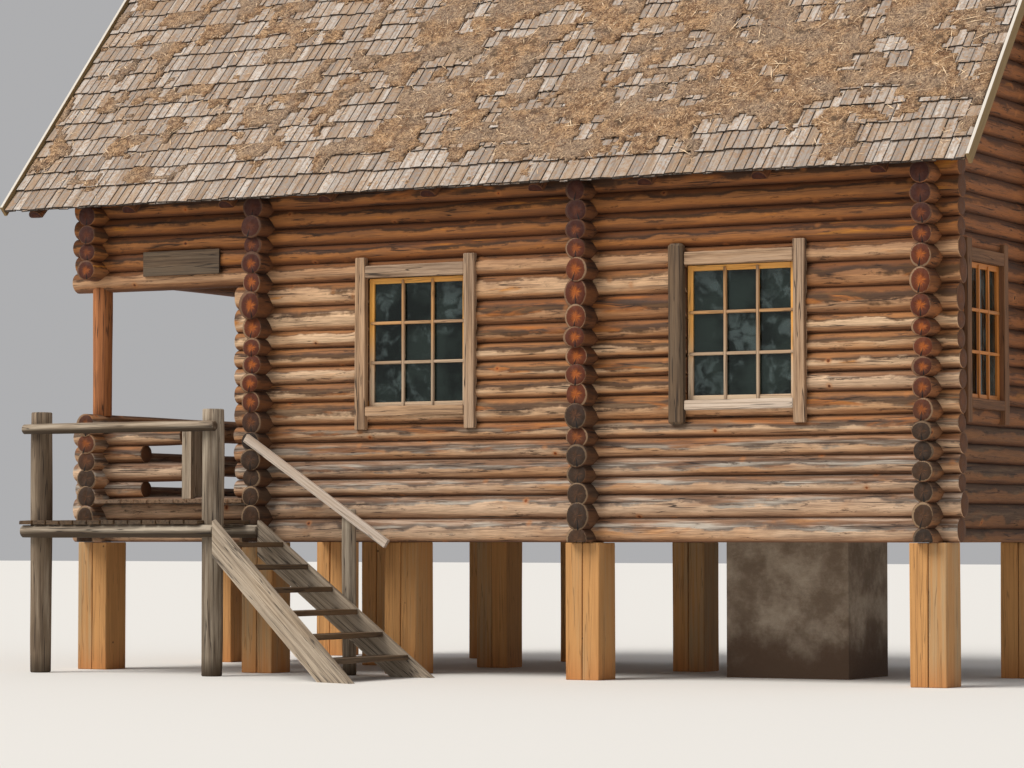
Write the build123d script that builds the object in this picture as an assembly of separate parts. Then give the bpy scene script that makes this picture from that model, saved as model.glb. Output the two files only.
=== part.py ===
from build123d import *
from math import cos, radians, sin, tan
import os

# Log cabin on piers, with a roofed porch, a landing and a stair, in millimetres.
# X runs along the front wall to the right, Y runs from the front wall into the cabin, Z is up.
# While it is modelled, X is 0 at the right gable, Y is 0 at the front wall and Z is 0 at the ground.

# Plan, between the axes of the walls
right_room = 3220.0
left_room = 3360.0
porch_depth = 1840.0
cabin_depth = 4300.0

# Logs and courses
log_width = 200.0
log_sides = 8
log_end = 300.0
course = 180.0
cross_drop = 75.0
wall_courses = 18
stub_first_course = 8
fit_gap = 0.3

# Piers and the stove's foundation
pier_height = 1200.0
pier_width = 330.0
side_pier_setback = 420.0
extra_pier_from_corner = 1280.0
stove_width = 1170.0
stove_length = 900.0
stove_from_gable = 1200.0
stove_from_beam = 150.0

# Floors
board_thickness = 40.0
joist_width = 100.0
joist_height = 150.0
joist_spacing = 700.0
floor_board_end = 280.0

# Roof
roof_pitch = 48.0
eave_reach = 400.0
right_overhang = 470.0
left_overhang = 930.0
rafter_width = 140.0
rafter_sides = 6
rafter_spacing = 1080.0
first_rafter = 400.0
rafter_tail = 150.0
birdsmouth = 10.0
roof_thickness = 80.0
barge_thickness = 30.0
barge_width = 110.0
barge_stand = 12.0
ridge_board_width = 160.0
ridge_board_thickness = 25.0

# Windows
window_height = 1175.0
window_sill = 2415.0
front_window_width = 1020.0
gable_window_width = 780.0
right_window_from_gable = 1734.0
left_window_from_gable = 4934.0
gable_window_from_corner = 931.0
frame_stile = 50.0
frame_depth = 120.0
frame_inset = 30.0
glass_thickness = 6.0
casing_width = 110.0
casing_thickness = 40.0
wide_casing_width = 150.0
wide_casing_thickness = 70.0
casing_below = 200.0
casing_above = 190.0
head_height = 115.0
sill_height = 90.0
sill_overlap = 12.0

# Doors
door_width = 850.0
door_height = 1850.0
door_from_front = 1100.0
door_frame_width = 70.0
door_leaf_thickness = 45.0
door_planks = 5
plank_groove = 8.0
door_ledge_height = 120.0
door_ledge_thickness = 30.0
door_ledge_from_end = 260.0

# Porch
beam_course = 13
rim_courses = 2
parapet_courses = 4
stub_length = 504.0
entry_from_wall = 870.0
entry_post_width = 100.0
porch_post_width = 190.0
sign_length = 850.0
sign_height = 230.0
sign_thickness = 25.0
sign_from_corner = 540.0
sign_course = 14

# Landing and stair
landing_width = 750.0
landing_above_piers = 200.0
landing_beam_width = 120.0
landing_post_width = 200.0
landing_post_above = 1000.0
landing_board_width = 140.0
landing_board_gap = 12.0
landing_past_porch = 110.0
landing_past_wall = 150.0
landing_notch = 15.0
rail_width = 100.0
rail_above = 840.0
stair_rise = 200.0
stair_run = 262.0
stair_splay = 19.3
tread_thickness = 45.0
tread_depth = 250.0
tread_nose = 20.0
stringer_width = 260.0
stringer_thickness = 55.0
newel_width = 130.0
newel_from_landing = 885.0
newel_above = 100.0
hand_plank_width = 80.0
hand_plank_thickness = 45.0
hand_plank_pitch = 33.0
hand_plank_above = 71.0
hand_plank_up = 1255.0
hand_plank_down = 530.0

# Places worked out from the sizes above
right_x = 0.0
partition_x = right_x - right_room
porch_wall_x = partition_x - left_room
porch_end_x = porch_wall_x - porch_depth
front_y = 0.0
back_y = front_y + cabin_depth
middle_y = (front_y + back_y) / 2
roof_right_x = right_x + right_overhang
roof_left_x = porch_end_x - left_overhang
log_half = log_width / 2
pitch = radians(roof_pitch)


def long_height(number):
    """The height of the axis of a log that runs along X, by its course."""
    return pier_height + course / 2 + number * course


def cross_height(number):
    """The height of the axis of a log that runs along Y, by its course."""
    return long_height(number) - cross_drop


plate_height = long_height(wall_courses - 1)
floor_bottom = long_height(rim_courses - 1) + course / 2 + fit_gap
floor_top = floor_bottom + board_thickness
landing_floor = pier_height + landing_above_piers
landing_post_top = landing_floor + landing_post_above
rail_height = landing_floor + rail_above


def block(low, high):
    """A squared piece between two corners."""
    size = [b - a for a, b in zip(low, high)]
    return Pos(*low) * Box(*size, align=(Align.MIN, Align.MIN, Align.MIN))


def log_frame(direction, start, across, height):
    """The plane of a log's end, with its own Y upwards."""
    frames = {
        "x": Plane(origin=(start, across, height), x_dir=(0, 1, 0), z_dir=(1, 0, 0)),
        "y": Plane(origin=(across, start, height), x_dir=(-1, 0, 0), z_dir=(0, 1, 0)),
        "z": Plane(origin=(across, height, start), x_dir=(1, 0, 0), z_dir=(0, 0, 1)),
    }
    return frames[direction]


def pole_section(width, sides):
    """The section of a log or pole, with a flat above and below."""
    return RegularPolygon(width / 2, sides, major_radius=False, rotation=90 - 180 / sides)


def pole_reach(width, sides=log_sides):
    """How far a pole reaches sideways from its axis."""
    return pole_section(width, sides).bounding_box().max.X


log_clear = pole_reach(log_width) + fit_gap


def pole(direction, start, end, across, height, width, sides=log_sides):
    """A straight round pole along x, y or z, with a flat above and below."""
    frame = log_frame(direction, start, across, height)
    return extrude(frame * pole_section(width, sides), amount=end - start)


def wall_log(direction, start, end, across, height):
    """A log of a wall, hewn flat above and below where it lies on the next one."""
    section = pole_section(log_width, log_sides) & Rectangle(2 * log_width, course - fit_gap)
    return extrude(log_frame(direction, start, across, height) * section, amount=end - start)


def notch(direction, start, end, across, height):
    """The notch that a log cuts in the log that lies across it."""
    section = Rectangle(2 * log_clear, course + fit_gap)
    return extrude(log_frame(direction, start, across, height) * section, amount=end - start)


def roof_line(distance, y):
    """The height of a plane that lies parallel to the front slope, that far above the plate log's axis."""
    return plate_height + distance / cos(pitch) + (y - front_y) * tan(pitch)


def slope_profile(low, high, y_start, y_end):
    """The section of a layer of the front slope, cut square at the eave and plumb at the ridge."""
    back_step = (high - low) * sin(pitch)
    points = [
        (y_start, roof_line(high, y_start)),
        (y_end, roof_line(high, y_end)),
        (y_end, roof_line(low, y_end)),
        (y_start + back_step, roof_line(low, y_start + back_step)),
    ]
    return make_face(Polyline(*points, close=True))


def along_x(profile, start, end):
    """A section drawn in Y and Z, drawn out along X."""
    frame = Plane(origin=(start, 0, 0), x_dir=(0, 1, 0), z_dir=(1, 0, 0))
    return extrude(frame * profile, amount=end - start)


def mirrored(piece):
    """The same piece on the other side of the ridge."""
    return mirror(piece, about=Plane(origin=(0, middle_y, 0), z_dir=(0, 1, 0)))


rafter_low = course / 2
rafter_high = rafter_low + rafter_width
roof_low = rafter_high + fit_gap
roof_high = roof_low + roof_thickness
ridge_height = roof_line(rafter_low, middle_y) - (log_half - birdsmouth) / cos(pitch)
eave_y = front_y - eave_reach


def under_roof():
    """The space below the roof, to which the gable logs are cut."""
    low_y = eave_y
    high_y = 2 * middle_y - eave_y
    limit = roof_low - fit_gap
    points = [
        (low_y, 0),
        (high_y, 0),
        (high_y, roof_line(limit, low_y)),
        (middle_y, roof_line(limit, middle_y)),
        (low_y, roof_line(limit, low_y)),
    ]
    return along_x(make_face(Polyline(*points, close=True)), roof_left_x, roof_right_x)


roof_space = under_roof()
ridge_log = (roof_left_x + barge_thickness + fit_gap, roof_right_x - barge_thickness - fit_gap)


def fitted(log, cutters):
    """A log less whatever it is cut to clear, as its separate lengths."""
    for cutter in cutters:
        log = log - cutter
    return list(log.solids())


def long_log(number, start, end, across, crossings, voids):
    """A log along X, notched over the logs that it crosses."""
    low = across - log_width
    high = across + log_width
    notches = [notch("y", low, high, place, cross_height(number)) for place in crossings]
    return fitted(wall_log("x", start, end, across, long_height(number)), [*voids, *notches])


def cross_log(number, start, end, across, crossings, voids):
    """A log along Y, notched over the logs that it crosses."""
    low = across - log_width
    high = across + log_width
    notches = [notch("x", low, high, place, long_height(number - 1)) for place in crossings]
    return fitted(wall_log("y", start, end, across, cross_height(number)), [*voids, *notches])


def below_sills():
    """The space under the sill logs, which are hewn flat where they rest on the piers."""
    reach = log_end + log_width
    low = (porch_end_x - reach, front_y - reach, 0)
    high = (right_x + reach, back_y + reach, pier_height + fit_gap)
    return block(low, high)


sill_cut = below_sills()
porch_floor_low = (porch_end_x + log_clear, front_y - floor_board_end, floor_bottom)
porch_floor_high = (porch_wall_x - log_clear, back_y + floor_board_end, floor_top)


def opening(low_x, high_x, low_y, high_y, low_z, high_z):
    """A rectangular cut through a wall, a little larger than what it holds."""
    low = (low_x - fit_gap, low_y - fit_gap, low_z - fit_gap)
    high = (high_x + fit_gap, high_y + fit_gap, high_z + fit_gap)
    return block(low, high)


porch_floor_space = opening(*[v for pair in zip(porch_floor_low, porch_floor_high) for v in pair])
wall_reach = log_width
window_top = window_sill + window_height
front_windows = [right_x - left_window_from_gable, right_x - right_window_from_gable]
gable_windows = [front_y + gable_window_from_corner, back_y - gable_window_from_corner]


def long_wall_openings(wall_y):
    """The window openings of the front or the back wall."""
    half = front_window_width / 2
    low_y = wall_y - wall_reach
    high_y = wall_y + wall_reach
    return [opening(x - half, x + half, low_y, high_y, window_sill, window_top) for x in front_windows]


def gable_openings():
    """The window openings of the right gable."""
    half = gable_window_width / 2
    low_x = right_x - wall_reach
    high_x = right_x + wall_reach
    return [opening(low_x, high_x, y - half, y + half, window_sill, window_top) for y in gable_windows]


def door_opening(wall_x):
    """The doorway of a cross wall."""
    half = door_width / 2 + door_frame_width
    y = front_y + door_from_front
    top = floor_top + door_height + door_frame_width
    return opening(wall_x - wall_reach, wall_x + wall_reach, y - half, y + half, floor_bottom, top)


def meets(height, void):
    """Whether a log at this height reaches an opening."""
    box = void.bounding_box()
    return box.min.Z < height + course / 2 and box.max.Z > height - course / 2


def long_span(over_porch):
    """How far a front or back log runs: the rim logs and the beams go on over the porch."""
    start = porch_wall_x - log_end
    if over_porch:
        start = porch_end_x - log_end
    return start, right_x + log_end


def long_wall(wall_y, porch_courses):
    """The logs of the front or the back wall."""
    voids = [porch_floor_space, *long_wall_openings(wall_y)]
    logs = []
    for number in range(wall_courses):
        start, end = long_span(number in porch_courses)
        crossings = [right_x, partition_x, porch_wall_x]
        if number in porch_courses and number != beam_course:
            crossings.append(porch_end_x)
        cuts = [void for void in voids if meets(long_height(number), void)]
        logs += long_log(number, start, end, wall_y, crossings, cuts)
    return logs


def cross_wall(wall_x, courses, crossings, voids):
    """The logs of a cross wall, of which the upper ones are cut to the slope of the roof."""
    start = front_y - log_end
    end = back_y + log_end
    logs = []
    for number in courses:
        places = [y for y, first, last in crossings if first < number <= last + 1]
        cuts = [void for void in [sill_cut, ridge_cut, *voids] if meets(cross_height(number), void)]
        made = cross_log(number, start, end, wall_x, places, cuts)
        if number >= wall_courses - 1:
            made = [piece for log in made for piece in (log & roof_space).solids()]
        logs += made
    return logs


gable_courses = int((ridge_height - cross_height(0)) // course) + 1
stub_courses = int((ridge_height - log_half - long_height(0) - course / 2) // course) + 1
ridge_cut = pole("x", roof_left_x, roof_right_x, middle_y, ridge_height, log_width + 2 * fit_gap)


def stub_wall(wall_x, first, last):
    """The short logs that stiffen a gable under the ridge."""
    logs = []
    for number in range(first, last):
        logs += long_log(number, wall_x - log_end, wall_x + log_end, middle_y, [wall_x], [])
    return logs


nodes = {}

# Piers
corner_lines = [right_x, partition_x, porch_wall_x, porch_end_x]
extra_line = porch_wall_x + extra_pier_from_corner


def pier(x, y):
    """A squared timber pier."""
    half = pier_width / 2
    return block((x - half, y - half, 0), (x + half, y + half, pier_height))


nodes["front_piers"] = [pier(x, front_y) for x in corner_lines]
nodes["front_piers"].append(pier(extra_line, front_y + side_pier_setback))
nodes["middle_piers"] = [pier(x, middle_y) for x in [*corner_lines, extra_line]]
nodes["back_piers"] = [pier(x, back_y) for x in corner_lines]
nodes["back_piers"].append(pier(extra_line, back_y - side_pier_setback))

# Sills, walls and gables
over_porch = [*range(rim_courses), *range(beam_course, wall_courses)]
nodes["front_wall_logs"] = long_wall(front_y, over_porch)
parapet_long = [rim_courses + 1, rim_courses + 3]
nodes["back_wall_logs"] = long_wall(back_y, [*over_porch, *parapet_long])
both_walls = [(front_y, 0, wall_courses - 1), (back_y, 0, wall_courses - 1)]
right_crossings = [*both_walls, (middle_y, stub_first_course, stub_courses - 1)]
nodes["right_gable_logs"] = cross_wall(right_x, range(gable_courses), right_crossings, gable_openings())
nodes["right_gable_stub_logs"] = stub_wall(right_x, stub_first_course, stub_courses)
partition_voids = [door_opening(partition_x)]
nodes["partition_logs"] = cross_wall(partition_x, range(wall_courses), both_walls, partition_voids)
porch_wall_voids = [door_opening(porch_wall_x)]
nodes["porch_wall_logs"] = cross_wall(porch_wall_x, range(wall_courses), both_walls, porch_wall_voids)
gable_first = beam_course + 1
porch_range = range(gable_first, gable_courses)
nodes["porch_gable_logs"] = cross_wall(porch_end_x, porch_range, both_walls, [])

# Porch sill and parapet
porch_floor = block(porch_floor_low, porch_floor_high)
nodes["porch_end_sill_logs"] = cross_wall(porch_end_x, range(rim_courses), both_walls, [])


def parapet_end():
    """The end parapet: every second cross log is only a pair of stubs at the corners."""
    logs = []
    for number in range(rim_courses, rim_courses + parapet_courses + 1):
        spans = [(front_y - log_end, back_y + log_end)]
        if (number - rim_courses) % 2 == 1:
            spans = [(front_y - log_end, front_y + stub_length), (back_y - stub_length, back_y + log_end)]
        for start, end in spans:
            logs += cross_log(number, start, end, porch_end_x, [front_y, back_y], [])
    return logs


def parapet_side(wall_y, numbers, end):
    """Stub and rail logs of the front or the back parapet."""
    logs = []
    for number in numbers:
        start = porch_end_x - log_end
        logs += long_log(number, start, end, wall_y, [porch_end_x], [porch_floor_space])
    return logs


stub_numbers = [rim_courses, rim_courses + 2]
stub_end = porch_end_x + stub_length
entry_x = porch_wall_x - entry_from_wall
nodes["porch_end_parapet"] = parapet_end()
nodes["porch_front_stub_logs"] = parapet_side(front_y, stub_numbers, stub_end)
nodes["porch_front_rail_logs"] = parapet_side(front_y, parapet_long, entry_x)
nodes["porch_back_stub_logs"] = parapet_side(back_y, stub_numbers, stub_end)


def entry_post():
    """The post at the way into the porch, in which the front rail logs end."""
    low = (entry_x + fit_gap, front_y - log_half, floor_top + fit_gap)
    top = long_height(parapet_long[-1]) + course / 2
    return block(low, (entry_x + entry_post_width, front_y + log_half, top))


nodes["porch_entry_post"] = [entry_post()]


def porch_post(y):
    """A round post on the corner of the parapet, under the porch beam."""
    low = cross_height(rim_courses + parapet_courses) + course / 2 + fit_gap
    high = long_height(beam_course) - course / 2 - fit_gap
    return pole("z", low, high, porch_end_x, y, porch_post_width)


nodes["porch_corner_posts"] = [porch_post(y) for y in (front_y, back_y)]
sign_x = porch_end_x + sign_from_corner
sign_low = long_height(sign_course) - sign_height / 2
sign_front = front_y - log_clear - sign_thickness
sign_box = (sign_x + sign_length, front_y - log_clear, sign_low + sign_height)
nodes["sign_board"] = [block((sign_x, sign_front, sign_low), sign_box)]

# Floors
beam_half = log_half
beam_top = floor_bottom - fit_gap - joist_height - fit_gap
rooms = {
    "right_room": (partition_x, right_x),
    "left_room": (porch_wall_x, partition_x),
    "porch": (porch_end_x, porch_wall_x),
}


def floor_beam(start, end, y):
    """A beam along a room, on the piers, between the sills of its cross walls."""
    low = (start + log_clear, y - beam_half, pier_height + fit_gap)
    return block(low, (end - log_clear, y + beam_half, beam_top))


def joists(start, end):
    """The floor joists of a room, from the front wall to the back wall."""
    clear = end - start - 2 * log_clear
    count = max(2, round(clear / joist_spacing))
    step = clear / count
    low_y = front_y + log_clear
    high_y = back_y - log_clear
    low_z = beam_top + fit_gap
    made = []
    for number in range(count):
        x = start + log_clear + step * number + (step - joist_width) / 2
        made.append(block((x, low_y, low_z), (x + joist_width, high_y, low_z + joist_height)))
    return made


def room_floor(start, end):
    """The boarded floor of a room."""
    low = (start + log_clear, front_y + log_clear, floor_bottom)
    return block(low, (end - log_clear, back_y - log_clear, floor_top))


nodes["middle_floor_beams"] = [floor_beam(*room, middle_y) for room in rooms.values()]
side_beam_lines = [front_y + side_pier_setback, back_y - side_pier_setback]
nodes["side_floor_beams"] = [floor_beam(*rooms["left_room"], y) for y in side_beam_lines]
nodes["floor_joists"] = [joist for room in rooms.values() for joist in joists(*room)]
nodes["right_room_floor"] = [room_floor(*rooms["right_room"])]
nodes["left_room_floor"] = [room_floor(*rooms["left_room"])]
nodes["porch_floor"] = [porch_floor]
stove_x = right_x - stove_from_gable
stove_y = middle_y - beam_half - stove_from_beam - stove_length
stove_high = (stove_x, stove_y + stove_length, beam_top)
nodes["stove_foundation"] = [block((stove_x - stove_width, stove_y, 0), stove_high)]

# Roof
plate_cut = notch("x", roof_left_x, roof_right_x, front_y, plate_height)


def rafter(x):
    """A round rafter of the front slope, notched over the plate log and the ridge beam."""
    centre = (rafter_low + rafter_high) / 2
    start = eave_y + rafter_tail
    origin = (x, start, roof_line(centre, start))
    frame = Plane(origin=origin, x_dir=(1, 0, 0), z_dir=(0, cos(pitch), sin(pitch)))
    length = (middle_y - start) / cos(pitch) + rafter_width
    whole = extrude(frame * pole_section(rafter_width, rafter_sides), amount=length)
    past = (x + rafter_width, middle_y + length, ridge_height + length)
    beyond = block((x - rafter_width, middle_y - fit_gap, 0), past)
    return whole - beyond - plate_cut - ridge_cut


rafter_count = int((roof_right_x - roof_left_x - first_rafter) // rafter_spacing) + 1
rafter_places = [right_x - first_rafter - number * rafter_spacing for number in range(rafter_count)]
front_rafters = [rafter(x) for x in rafter_places]
nodes["front_rafters"] = front_rafters
nodes["back_rafters"] = [mirrored(piece) for piece in front_rafters]
nodes["ridge_beam"] = [pole("x", ridge_log[0], ridge_log[1], middle_y, ridge_height, log_width)]
slope = slope_profile(roof_low, roof_high, eave_y, middle_y - fit_gap)
front_slope = along_x(slope, ridge_log[0], ridge_log[1])
nodes["front_roof_slope"] = [front_slope]
nodes["back_roof_slope"] = [mirrored(front_slope)]
barge_high = roof_high + barge_stand
barge = slope_profile(barge_high - barge_width, barge_high, eave_y, middle_y - fit_gap)
left_barge = along_x(barge, roof_left_x, roof_left_x + barge_thickness)
right_barge = along_x(barge, roof_right_x - barge_thickness, roof_right_x)
nodes["front_barge_boards"] = [left_barge, right_barge]
nodes["back_barge_boards"] = [mirrored(left_barge), mirrored(right_barge)]


def ridge_board():
    """A board that lies on the front slope along the ridge."""
    low = roof_high + fit_gap
    reach = ridge_board_width * cos(pitch)
    profile = slope_profile(low, low + ridge_board_thickness, middle_y - reach, middle_y - fit_gap)
    return along_x(profile, ridge_log[0], ridge_log[1])


front_ridge_board = ridge_board()
nodes["ridge_boards"] = [front_ridge_board, mirrored(front_ridge_board)]


# Windows
def window_frame(width):
    """A window frame about its own centre line, standing on Z = 0, with its outer face to -Y."""
    outer = block((-width / 2, 0, 0), (width / 2, frame_depth, window_height))
    low = (-width / 2 + frame_stile, 0, frame_stile)
    high = (width / 2 - frame_stile, frame_depth, window_height - frame_stile)
    return outer - block(low, high)


def window_glass(width):
    """The glass of a window, in the middle of its frame."""
    edge = frame_stile + fit_gap
    low_y = (frame_depth - glass_thickness) / 2
    low = (-width / 2 + edge, low_y, edge)
    high = (width / 2 - edge, low_y + glass_thickness, window_height - edge)
    return block(low, high)


def window_casing(width, left_width, left_thickness):
    """Side boards, head board and sill board, which lie on the faces of the logs."""
    face = frame_inset - log_half
    back = -log_clear - face
    front = back - casing_thickness
    half = width / 2
    low_z = -casing_below
    high_z = window_height + casing_above
    left = block((-half - left_width, back - left_thickness, low_z), (-half, back, high_z))
    right = block((half, front, low_z), (half + casing_width, back, high_z))
    head_low = window_height
    head = block((-half + fit_gap, front, head_low), (half - fit_gap, back, head_low + head_height))
    sill_top = sill_overlap
    sill = block((-half + fit_gap, front, sill_top - sill_height), (half - fit_gap, back, sill_top))
    return [left, right, head, sill]


face_in = log_half - frame_inset


def front_place(x):
    """Where a window of the front wall stands."""
    return Pos(x, front_y - face_in, window_sill)


def back_place(x):
    """Where a window of the back wall stands."""
    return Pos(x, back_y + face_in, window_sill) * Rot(0, 0, 180)


def gable_place(y):
    """Where a window of the right gable stands."""
    return Pos(right_x + face_in, y, window_sill) * Rot(0, 0, 90)


window_sets = {
    "front": ([front_place(x) for x in front_windows], front_window_width),
    "back": ([back_place(x) for x in front_windows], front_window_width),
    "gable": ([gable_place(y) for y in gable_windows], gable_window_width),
}
plain_casing = (casing_width, casing_thickness)
wide_casing = (wide_casing_width, wide_casing_thickness)
for side, (places, width) in window_sets.items():
    nodes[side + "_window_frames"] = [place * window_frame(width) for place in places]
    nodes[side + "_window_glass"] = [place * window_glass(width) for place in places]
    left_boards = [plain_casing, wide_casing if side == "front" else plain_casing]
    casings = [window_casing(width, *left_board) for left_board in left_boards]
    nodes[side + "_window_casings"] = [
        place * board for place, casing in zip(places, casings) for board in casing
    ]

# Doors
door_y = front_y + door_from_front
door_low_y = door_y - door_width / 2
door_high_y = door_y + door_width / 2


def door_frame(wall_x):
    """Two jambs and a head, which line a doorway."""
    low_x = wall_x - log_half
    high_x = wall_x + log_half
    top = floor_top + door_height
    outer = block(
        (low_x, door_low_y - door_frame_width, floor_bottom),
        (high_x, door_high_y + door_frame_width, top + door_frame_width),
    )
    return outer - block((low_x, door_low_y, floor_bottom), (high_x, door_high_y, top))


def entrance_door():
    """The plank door, with V grooves between the planks and two ledges across its back."""
    low_x = porch_wall_x - log_half
    width = door_width - 2 * fit_gap
    low = (low_x, door_low_y + fit_gap, floor_top + fit_gap)
    high = (low_x + door_leaf_thickness, door_high_y - fit_gap, floor_top + door_height - fit_gap)
    leaf = block(low, high)
    for number in range(1, door_planks):
        y = low[1] + width * number / door_planks
        groove = Box(plank_groove, plank_groove, 2 * door_height)
        leaf -= Pos(low_x, y, floor_top + door_height / 2) * Rot(0, 0, 45) * groove
    for from_low in (door_ledge_from_end, door_height - door_ledge_from_end - door_ledge_height):
        z = floor_top + from_low
        ledge_low = (high[0], low[1] + door_frame_width, z)
        ledge_high = (high[0] + door_ledge_thickness, high[1] - door_frame_width, z + door_ledge_height)
        leaf += block(ledge_low, ledge_high)
    return leaf


nodes["entrance_door"] = [entrance_door()]
nodes["entrance_door_frame"] = [door_frame(porch_wall_x)]
nodes["partition_door_frame"] = [door_frame(partition_x)]

# Landing
beam_z = landing_floor - board_thickness - fit_gap - landing_beam_width / 2
landing_left_x = porch_end_x - landing_past_porch
landing_right_x = porch_wall_x + landing_past_wall
beam_corner = pole_reach(landing_beam_width)
ledger_y = front_y - log_end - fit_gap - beam_corner
outer_y = ledger_y - landing_width
outer_beam = pole("x", landing_left_x, landing_right_x, outer_y, beam_z, landing_beam_width)
ledger = pole("x", landing_left_x, landing_right_x, ledger_y, beam_z, landing_beam_width)
nodes["landing_beams"] = [outer_beam, ledger]
post_y = outer_y + beam_corner + landing_post_width / 2 - landing_notch
rail_y = post_y - landing_post_width / 2 - rail_width / 2 + landing_notch
post_places = [landing_left_x + landing_post_width / 2, landing_right_x - landing_post_width / 2]
rail = pole("x", landing_left_x, landing_right_x, rail_y, rail_height, rail_width)


def landing_post(x):
    """A round post from the ground to above the rail, notched for the beam, the boards and the rail."""
    post = pole("z", 0, landing_post_top, x, post_y, landing_post_width)
    reach = landing_post_width
    wide_beam = landing_beam_width + 2 * fit_gap
    wide_rail = rail_width + 2 * fit_gap
    post -= pole("x", x - reach, x + reach, outer_y, beam_z, wide_beam)
    post -= pole("x", x - reach, x + reach, rail_y, rail_height, wide_rail)
    return post


nodes["landing_posts"] = [landing_post(x) for x in post_places]
nodes["landing_rail"] = [rail]


def landing_boards():
    """The boards across the landing, cut round its posts."""
    step = landing_board_width + landing_board_gap
    count = int((landing_right_x - landing_left_x + landing_board_gap) // step)
    low_y = outer_y - beam_corner
    high_y = ledger_y + beam_corner
    low_z = landing_floor - board_thickness
    wide = landing_post_width + 2 * landing_board_gap
    posts = [pole("z", 0, landing_post_top, x, post_y, wide) for x in post_places]
    boards = []
    for number in range(count):
        x = landing_left_x + number * step
        board = block((x, low_y, low_z), (x + landing_board_width, high_y, landing_floor))
        boards += fitted(board, posts)
    return boards


nodes["landing_boards"] = landing_boards()

# Stair
step_count = round(landing_floor / stair_rise) - 1
stair_x = landing_right_x + fit_gap
near_y = outer_y
far_y = ledger_y
stair_reach = (step_count + 2) * stair_run


def stringer_plane(y, turn, inside):
    """The plane of a stringer that starts at y and turns outwards, set some way inside its middle."""
    across = (sin(turn), cos(turn))
    origin = (stair_x + inside * across[0], y + inside * across[1], 0)
    return Plane(origin=origin, x_dir=(across[1], -across[0], 0), z_dir=(-across[0], -across[1], 0))


def stringer(y, turn):
    """A plank stringer, cut level at the ground and plumb against the landing."""
    stretch = 1 / cos(turn)
    fall = stair_rise / (stair_run * stretch)
    drop = stringer_width * (1 + fall * fall) ** 0.5
    start = -2 * stringer_thickness
    top = landing_floor - start * fall
    foot = landing_floor / fall
    lower = (landing_floor - drop) / fall
    profile = make_face(Polyline((start, top), (foot, 0), (lower, 0), (start, top - drop), close=True))
    plank = extrude(stringer_plane(y, turn, stringer_thickness / 2) * profile, amount=stringer_thickness)
    past_landing = (stair_x, y + stair_reach, 2 * landing_floor)
    return plank - block((stair_x - stair_reach, y - stair_reach, 0), past_landing)


splay = radians(stair_splay)
nodes["stair_stringers"] = [stringer(near_y, splay), stringer(far_y, 0)]


def treads():
    """The treads, which widen with the splay of the near stringer."""
    high_y = far_y - stringer_thickness / 2 - fit_gap
    outer_plane = stringer_plane(near_y, splay, stringer_thickness / 2 + fit_gap)
    wide = Rectangle(2 * stair_reach, 2 * landing_floor)
    outside = extrude(outer_plane * wide, amount=stair_reach)
    made = []
    for number in range(1, step_count + 1):
        top = landing_floor - number * stair_rise
        nose_x = stair_x + number * stair_run + tread_nose
        low = (nose_x - tread_depth, near_y - stair_reach / 2, top - tread_thickness)
        made.append(block(low, (nose_x, high_y, top)) - outside)
    return made


nodes["stair_treads"] = treads()

# Stair handrail
newel_x = stair_x + newel_from_landing
newel_y = front_y - log_end + newel_width / 2
newel_top = landing_floor + newel_above
nodes["stair_newel"] = [pole("z", 0, newel_top, newel_x, newel_y, newel_width)]


def stair_handrail():
    """The plank handrail on the wall side of the stair, on the newel and the ends of the wall's logs."""
    slant = radians(hand_plank_pitch)
    origin = (newel_x, front_y - log_end - fit_gap, landing_floor + hand_plank_above)
    frame = Plane(origin=origin, x_dir=(cos(slant), 0, -sin(slant)), z_dir=(0, -1, 0))
    half = hand_plank_width / 2
    up = -hand_plank_up
    down = hand_plank_down
    profile = make_face(Polyline((up, -half), (down, -half), (down, half), (up, half), close=True))
    return extrude(frame * profile, amount=hand_plank_thickness)


nodes["stair_handrail"] = [stair_handrail()]


def centred():
    """How far everything moves so that the origin lies under the middle of the cabin, on the ground."""
    boxes = [piece.bounding_box() for pieces in nodes.values() for piece in pieces]
    middle_of_x = (min(box.min.X for box in boxes) + max(box.max.X for box in boxes)) / 2
    middle_of_y = (min(box.min.Y for box in boxes) + max(box.max.Y for box in boxes)) / 2
    return Pos(-middle_of_x, -middle_of_y, 0)


# Each piece group is written to a file of its own
move = centred()
os.makedirs("parts", exist_ok=True)
for name, pieces in nodes.items():
    solids = [solid for piece in pieces for solid in (move * piece).solids()]
    export_step(Compound(children=solids), "parts/" + name + ".step")
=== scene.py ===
# %% [markdown]
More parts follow.
